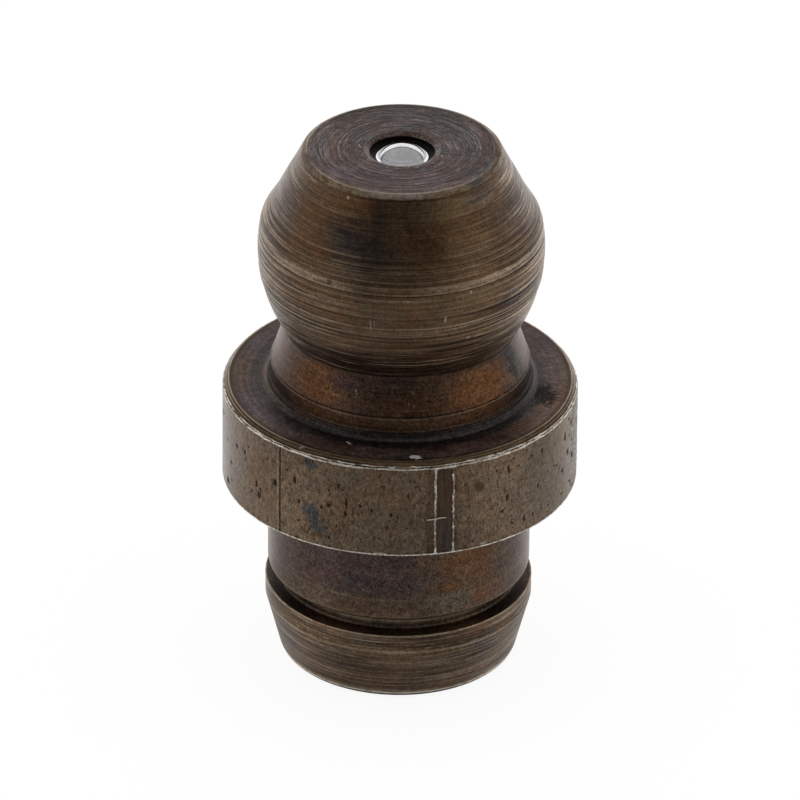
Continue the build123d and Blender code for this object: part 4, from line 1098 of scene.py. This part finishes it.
mats = {
    "face": oxide("oxide_face", (0.068, 0.041, 0.038), light=(0.30, 0.235, 0.215), dark=(0.016, 0.010, 0.010), line_light=(0.25, 0.195, 0.170), field="xy", warp=(0.5, 0.5), torn_at=(6.0, 12.0),
                  streak=0.12, crisp=1.1, fine_streak=1.1, pitch=1.05, hue=2.0, grain=2.2, mottle=1.4, patches=FACE_PATCHES, extras=(face_marks, mouth_marks, edge_marks), seed=3.0),
    "head": oxide("oxide_head", (0.124, 0.077, 0.045), light=(0.40, 0.305, 0.215), streak=0.42, fine_streak=0.9, crisp=1.0, calm=HEAD_CALM, flanks=0.85, low_marks=(10.75, 1.60, 0.80), patches=HEAD_PATCHES, extras=(edge_marks, head_marks), bump=1.6),
    "neck": oxide("oxide_neck", (0.080, 0.048, 0.034), patches=NECK_PATCHES, extras=(neck_marks,), torn_at=(12.0, 12.0), mottle=1.6, grain=1.8, speck=0.6, streak=0.12, fine_streak=0.2, crisp=0.10, seed=11.0),
    "top": oxide("oxide_top", (0.076, 0.050, 0.048), rough=0.44, line_light=(0.16, 0.12, 0.10), field="phi_r", warp=(10.0, 0.22), torn_at=(8.0, 7.0), patches=TOP_PATCHES, extras=(top_marks,),
                 streak=0.2, crisp=0.2, fine_streak=0.3, mottle=1.4, grain=1.5, speck=0.4, seed=37.0),
    "rim": oxide("oxide_rim", (0.100, 0.063, 0.036), light=(0.30, 0.215, 0.125), streak=0.3, crisp=0.6, fine_streak=0.8, extras=(rim_marks,), seed=5.0),
    "collar": oxide("oxide_collar", (0.160, 0.115, 0.077), dark=(0.042, 0.026, 0.018), streak=0.05, crisp=0.0, fine_streak=0.06, mottle=1.2, grain=1.3, speck=0.5, hue=0.7, pit_noise=1.2, patches=COLLAR_PATCHES, extras=(collar_marks,),
                    seed=17.0, torn_at=(16.0, 5.0), warp=(5.0, 0.22), edge=0.35),
    "shank": oxide("oxide_shank", (0.112, 0.076, 0.055), patches=SHANK_PATCHES, streak=0.15, crisp=0.08, fine_streak=0.2, mottle=1.6, grain=1.8, speck=0.5, torn_at=(14.0, 10.0), seed=23.0),
    "ring": oxide("oxide_ring", (0.148, 0.098, 0.066), line_light=(0.52, 0.41, 0.28), patches=RING_PATCHES, extras=(ring_marks,), streak=0.6, crisp=1.2, fine_streak=1.1, bump=1.2, seed=29.0),
    # the passage's near-black colours are painted shade for the dark inside of the hole
    "bore": oxide("oxide_bore_painted_shade", (0.012, 0.010, 0.009), light=(0.024, 0.018, 0.015), dark=(0.006, 0.005, 0.004), line_light=(0.04, 0.032, 0.028), rough=0.5, crisp=0.5, seed=31.0),
}
for i, m in enumerate(MATS):
    body.data.materials[i] = mats[m]

# ------------------------------------------------------------------ check ball and spring


def ball_mesh(name, centre, radius):
    """A sphere of near-even quads: a cube's six grids pushed out to the radius."""
    n = 26
    verts, faces, seen = [], [], {}
    for axis in range(3):
        for side in (-1, 1):
            grid = np.zeros((n + 1, n + 1), int)
            for i in range(n + 1):
                for j in range(n + 1):
                    u, v = math.tan((i / n - 0.5) * math.pi / 2), math.tan((j / n - 0.5) * math.pi / 2)
                    q = [0.0, 0.0, 0.0]
                    q[axis], q[(axis + 1) % 3], q[(axis + 2) % 3] = side, u, v
                    q = np.array(q) / np.linalg.norm(q)
                    key = tuple(np.round(q, 6))
                    if key not in seen:
                        seen[key] = len(verts)
                        verts.append((q * radius + np.array(centre)) * MM)
                    grid[i, j] = seen[key]
            for i in range(n):
                for j in range(n):
                    f = [grid[i, j], grid[i + 1, j], grid[i + 1, j + 1], grid[i, j + 1]]
                    faces.append(f if side > 0 else f[::-1])
    mesh = bpy.data.meshes.new(name)
    mesh.from_pydata([tuple(v) for v in verts], [], faces)
    mesh.polygons.foreach_set("use_smooth", np.ones(len(faces), bool))
    mesh.update()
    ob = bpy.data.objects.new(name, mesh)
    bpy.context.scene.collection.objects.link(ob)
    return ob


ball_lo, ball_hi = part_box("check_ball")
ball_centre = [(ball_lo[i] + ball_hi[i]) / 2 / MM for i in range(3)]
BALL_R = 0.794
ball = ball_mesh("check_ball_polished", ball_centre, BALL_R)


SPRING_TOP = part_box("check_spring")[1][2] / MM


def spring_mesh(name):
    """Round wire along a closed-end coil, both ends ground flat."""
    wire, coil, foot, top = 0.125, 0.725, 0.41, SPRING_TOP
    lo, hi = foot + 0.3 * wire, top - 0.3 * wire
    end_h, turns = 0.27, 12
    per, sides = 40, 14
    pts = []
    n_end, n_mid = per, per * turns
    for k in range(n_end + n_mid + n_end + 1):
        if k <= n_end:
            z = lo + end_h * k / n_end
        elif k <= n_end + n_mid:
            z = lo + end_h + (hi - lo - 2 * end_h) * (k - n_end) / n_mid
        else:
            z = hi - end_h + end_h * (k - n_end - n_mid) / n_end
        a = 2 * math.pi * k / per
        pts.append((coil * math.cos(a), coil * math.sin(a), z, a))
    pts = np.array(pts)
    # soften the two changes of pitch
    zz = pts[:, 2].copy()
    for _ in range(30):
        zz[1:-1] = (zz[:-2] + 2 * zz[1:-1] + zz[2:]) / 4
    pts[1:-1, 2] = zz[1:-1]
    verts, faces = [], []
    tang = np.gradient(pts[:, :3], axis=0)
    tang /= np.linalg.norm(tang, axis=1)[:, None]
    for k in range(len(pts)):
        a = pts[k, 3]
        out_dir = np.array([math.cos(a), math.sin(a), 0.0])
        side = np.cross(tang[k], out_dir)
        side /= np.linalg.norm(side)
        for j in range(sides):
            t = 2 * math.pi * j / sides
            q = pts[k, :3] + wire * (math.cos(t) * out_dir + math.sin(t) * side)
            q[2] = min(max(q[2], foot), top)
            verts.append(tuple(q * MM))
    for k in range(len(pts) - 1):
        for j in range(sides):
            a, b = k * sides + j, k * sides + (j + 1) % sides
            faces.append((a, a + sides, b + sides, b))
    faces.append(tuple(range(sides)))
    faces.append(tuple(reversed([len(verts) - sides + j for j in range(sides)])))
    mesh = bpy.data.meshes.new(name)
    mesh.from_pydata(verts, [], faces)
    mesh.polygons.foreach_set("use_smooth", np.ones(len(faces), bool))
    mesh.validate()
    mesh.update()
    mesh.set_sharp_from_angle(angle=math.radians(50))
    ob = bpy.data.objects.new(name, mesh)
    bpy.context.scene.collection.objects.link(ob)
    return ob


spring = spring_mesh("check_spring_coil")


def ball_material():
    g = Graph("ball_polished_steel")
    p, x, y, z, radius, phi, around = place(g)
    haze, cloud = g.noise(p, 3.0, 3.0, 0.55), g.noise(p, 11.0, 3.0, 0.6)
    fine = g.noise(p, 30.0, 2.0, 0.5)
    mix = g.add(g.mul(haze, 0.45), g.add(g.mul(cloud, 0.35), g.mul(fine, 0.20)))
    col = g.mixc(g.step(mix, 0.38, 0.62), (0.53, 0.53, 0.54), (0.68, 0.68, 0.69))
    # the narrow flat that the seat has worn on it, its shading normal turned level, with a fine dark line inside it;
    # its colour is painted light: darker inside radius 0.55 as painted shade, brighter outside as painted highlight,
    # and the dark line is a painted shadow of the gap at the seat
    above = g.step(z, ball_centre[2] + 0.30, ball_centre[2] + 0.36)
    turned_y = g.add(y, 0.12)
    worn = g.m("SQRT", g.add(g.mul(x, x), g.mul(turned_y, turned_y)))
    facet = g.mul(g.mul(g.step(worn, 0.496, 0.504), above), g.step(y, -0.42, -0.28, 0.35, 1.0))
    # facet colour: darker inside radius 0.55 as painted shade, brighter outside as painted highlight
    shade = g.step(radius, 0.545, 0.557, 0.36, 0.74)
    # painted shadow of the gap between ball and seat
    col = g.mixc(g.mul(g.mul(band(g, radius, 0.494, 0.504, 0.006), above), 0.5), col, (0.20, 0.20, 0.20))
    bsdf = g.node("ShaderNodeBsdfPrincipled")
    out = g.node("ShaderNodeOutputMaterial")
    g.put(out.inputs["Surface"], bsdf.outputs[0])
    g.put(bsdf.inputs["Base Color"], g.mixc(facet, col, g.xyz(shade, shade, shade)))
    bsdf.inputs["Metallic"].default_value = 1.0
    g.put(bsdf.inputs["Roughness"], g.lin(mix, 0.35, 0.65, 0.05, 0.12))
    b = g.node("ShaderNodeBump")
    b.inputs["Distance"].default_value = 1e-3
    g.put(b.inputs["Height"], g.mul(fine, 2e-4))
    level = g.node("ShaderNodeVectorTransform")
    level.vector_type = "NORMAL"
    level.convert_from, level.convert_to = "OBJECT", "WORLD"
    level.inputs[0].default_value = (0.0, 0.03, 1.0)
    rest = g.sub(1.0, facet)
    own = g.v("MULTIPLY", g.node("ShaderNodeNewGeometry").outputs["Normal"], g.xyz(rest, rest, rest))
    flat_part = g.v("MULTIPLY", level.outputs[0], g.xyz(facet, facet, facet))
    g.put(b.inputs["Normal"], g.v("NORMALIZE", g.v("ADD", own, flat_part)))
    g.put(bsdf.inputs["Normal"], b.outputs[0])
    return g.mat


def spring_material():
    g = Graph("spring_drawn_wire")
    p, x, y, z, radius, phi, around = place(g)
    drawn = g.noise(g.v("MULTIPLY", p, (9.0, 9.0, 26.0)), 1.0, 3.0, 0.6)
    spots = g.noise(p, 4.0, 4.0, 0.6)
    col = g.mixc(g.step(spots, 0.35, 0.65), (0.34, 0.32, 0.29), (0.46, 0.44, 0.41))
    col = g.scale(col, g.lin(drawn, 0.3, 0.7, 0.85, 1.1))
    ground = g.most(g.step(z, 0.425, 0.413), g.step(z, SPRING_TOP - 0.015, SPRING_TOP - 0.003))
    bsdf = g.node("ShaderNodeBsdfPrincipled")
    out = g.node("ShaderNodeOutputMaterial")
    g.put(out.inputs["Surface"], bsdf.outputs[0])
    g.put(bsdf.inputs["Base Color"], g.mixc(g.mul(ground, 0.7), col, (0.62, 0.61, 0.60)))
    bsdf.inputs["Metallic"].default_value = 1.0
    g.put(bsdf.inputs["Roughness"], g.lin(spots, 0.3, 0.7, 0.26, 0.38))
    b = g.node("ShaderNodeBump")
    b.inputs["Distance"].default_value = 1e-6
    g.put(b.inputs["Height"], drawn)
    g.put(bsdf.inputs["Normal"], b.outputs[0])
    return g.mat


ball.data.materials.append(ball_material())
spring.data.materials.append(spring_material())

# ------------------------------------------------------------------ studio

scene = bpy.context.scene
ELEV, ROLL, REACH = 29.129, 0.522, 0.250
LOOK_AT = Vector((0.0011 * MM, 0.0, 6.29 * MM))
cam_data = bpy.data.cameras.new("camera")
cam_data.sensor_width = 36.0
cam_data.lens = 494.0
cam_data.clip_start = 0.01
cam_data.clip_end = 10.0
cam = bpy.data.objects.new("camera", cam_data)
scene.collection.objects.link(cam)
e = math.radians(ELEV)
turn = Matrix.Rotation(math.radians(90.0 - ELEV), 4, "X") @ Matrix.Rotation(math.radians(ROLL), 4, "Z")
cam.matrix_world = Matrix.Translation(LOOK_AT + REACH * Vector((0, -math.cos(e), math.sin(e)))) @ turn
scene.camera = cam

world = bpy.data.worlds.new("soft_studio")
scene.world = world
world.use_nodes = True
wt = world.node_tree
wt.nodes.clear()


class WorldGraph(Graph):
    def __init__(self, tree):
        self.nt = tree


w = WorldGraph(wt)
direction = w.node("ShaderNodeTexCoord").outputs["Generated"]
dx, dy, dz = w.split(w.v("NORMALIZE", direction))
flat = w.m("SQRT", w.add(w.add(w.mul(dx, dx), w.mul(dy, dy)), 1e-9))
front = w.m("DIVIDE", w.mul(dy, -1.0), flat)  # 1 towards the camera's side
opening = w.step(front, 0.62, 0.82)
back = w.step(front, -0.25, -0.90)  # 1 on the far side
up = w.m("DEGREES", w.m("ARCSINE", dz))
top = w.add(w.add(24.0, w.step(front, -0.80, -0.98, 0.0, 5.0)), w.mul(opening, 17.0))  # where the walls end
dome = w.step(w.sub(up, top), -2.0, 2.0)
edge_line = w.step(w.m("ABSOLUTE", w.sub(w.sub(up, top), 2.5)), 4.2, 2.2)
wall = w.lin(opening, 0.0, 1.0, w.lin(back, 0.0, 1.0, 0.78, 1.25), 0.10)
light = w.add(w.mul(wall, w.sub(1.0, dome)), w.mul(dome, 0.50))
light = w.mul(light, w.lin(w.mul(edge_line, w.sub(1.0, opening)), 0.0, 1.0, 1.0, 0.40))
bg = w.node("ShaderNodeBackground")
w.put(bg.inputs["Color"], w.xyz(light, light, light))
bg.inputs["Strength"].default_value = 1.0
seen = w.node("ShaderNodeBackground")
seen.inputs["Color"].default_value = (1, 1, 1, 1)
seen.inputs["Strength"].default_value = 1.0
pick = w.node("ShaderNodeMixShader")
w.put(pick.inputs[0], w.node("ShaderNodeLightPath").outputs["Is Camera Ray"])
w.put(pick.inputs[1], bg.outputs[0])
w.put(pick.inputs[2], seen.outputs[0])
wo = w.node("ShaderNodeOutputWorld")
w.put(wo.inputs["Surface"], pick.outputs[0])

floor_mesh = bpy.data.meshes.new("floor")
h = 0.6
floor_mesh.from_pydata([(-h, -h, 0), (h, -h, 0), (h, h, 0), (-h, h, 0)], [], [(0, 1, 2, 3)])
floor = bpy.data.objects.new("floor", floor_mesh)
scene.collection.objects.link(floor)
fg = Graph("floor_white")
fp = fg.node("ShaderNodeNewGeometry").outputs["Position"]
fx, fy, fz = fg.split(fg.v("NORMALIZE", fp))
ahead = fg.step(fg.mul(fy, -1.0), 0.45, 0.95)  # the unlit side, where the camera stands
behind = fg.step(fy, 0.15, 0.90)


def white_floor(albedo, glow):
    diff = fg.node("ShaderNodeBsdfDiffuse")
    diff.inputs["Color"].default_value = (albedo, albedo, albedo, 1)
    em = fg.node("ShaderNodeEmission")
    fg.put(em.inputs["Strength"], glow)
    both = fg.node("ShaderNodeAddShader")
    fg.put(both.inputs[0], diff.outputs[0])
    fg.put(both.inputs[1], em.outputs[0])
    return both.outputs[0]


shown = white_floor(0.22, 0.90)
lit = white_floor(0.55, fg.add(fg.lin(ahead, 0.0, 1.0, 0.50, 0.19), fg.mul(behind, 0.65)))
pick = fg.node("ShaderNodeMixShader")
fg.put(pick.inputs[0], fg.node("ShaderNodeLightPath").outputs["Is Camera Ray"])
fg.put(pick.inputs[1], lit)
fg.put(pick.inputs[2], shown)
clear = fg.node("ShaderNodeBsdfTransparent")
side = fg.node("ShaderNodeMixShader")
fg.put(side.inputs[0], fg.node("ShaderNodeNewGeometry").outputs["Backfacing"])
fg.put(side.inputs[1], pick.outputs[0])
fg.put(side.inputs[2], clear.outputs[0])
fg.put(fg.node("ShaderNodeOutputMaterial").inputs["Surface"], side.outputs[0])
floor_mesh.materials.append(fg.mat)

scene.view_settings.view_transform = "Standard"
scene.view_settings.look = "None"
scene.view_settings.exposure = 0.0
scene.view_settings.gamma = 1.0

# ------------------------------------------------------------------ onto the frame

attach(body, "nipple")
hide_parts("nipple_body")
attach(ball, "ball")
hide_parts("check_ball")
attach(spring, "nipple")
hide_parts("check_spring")
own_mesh(spring)

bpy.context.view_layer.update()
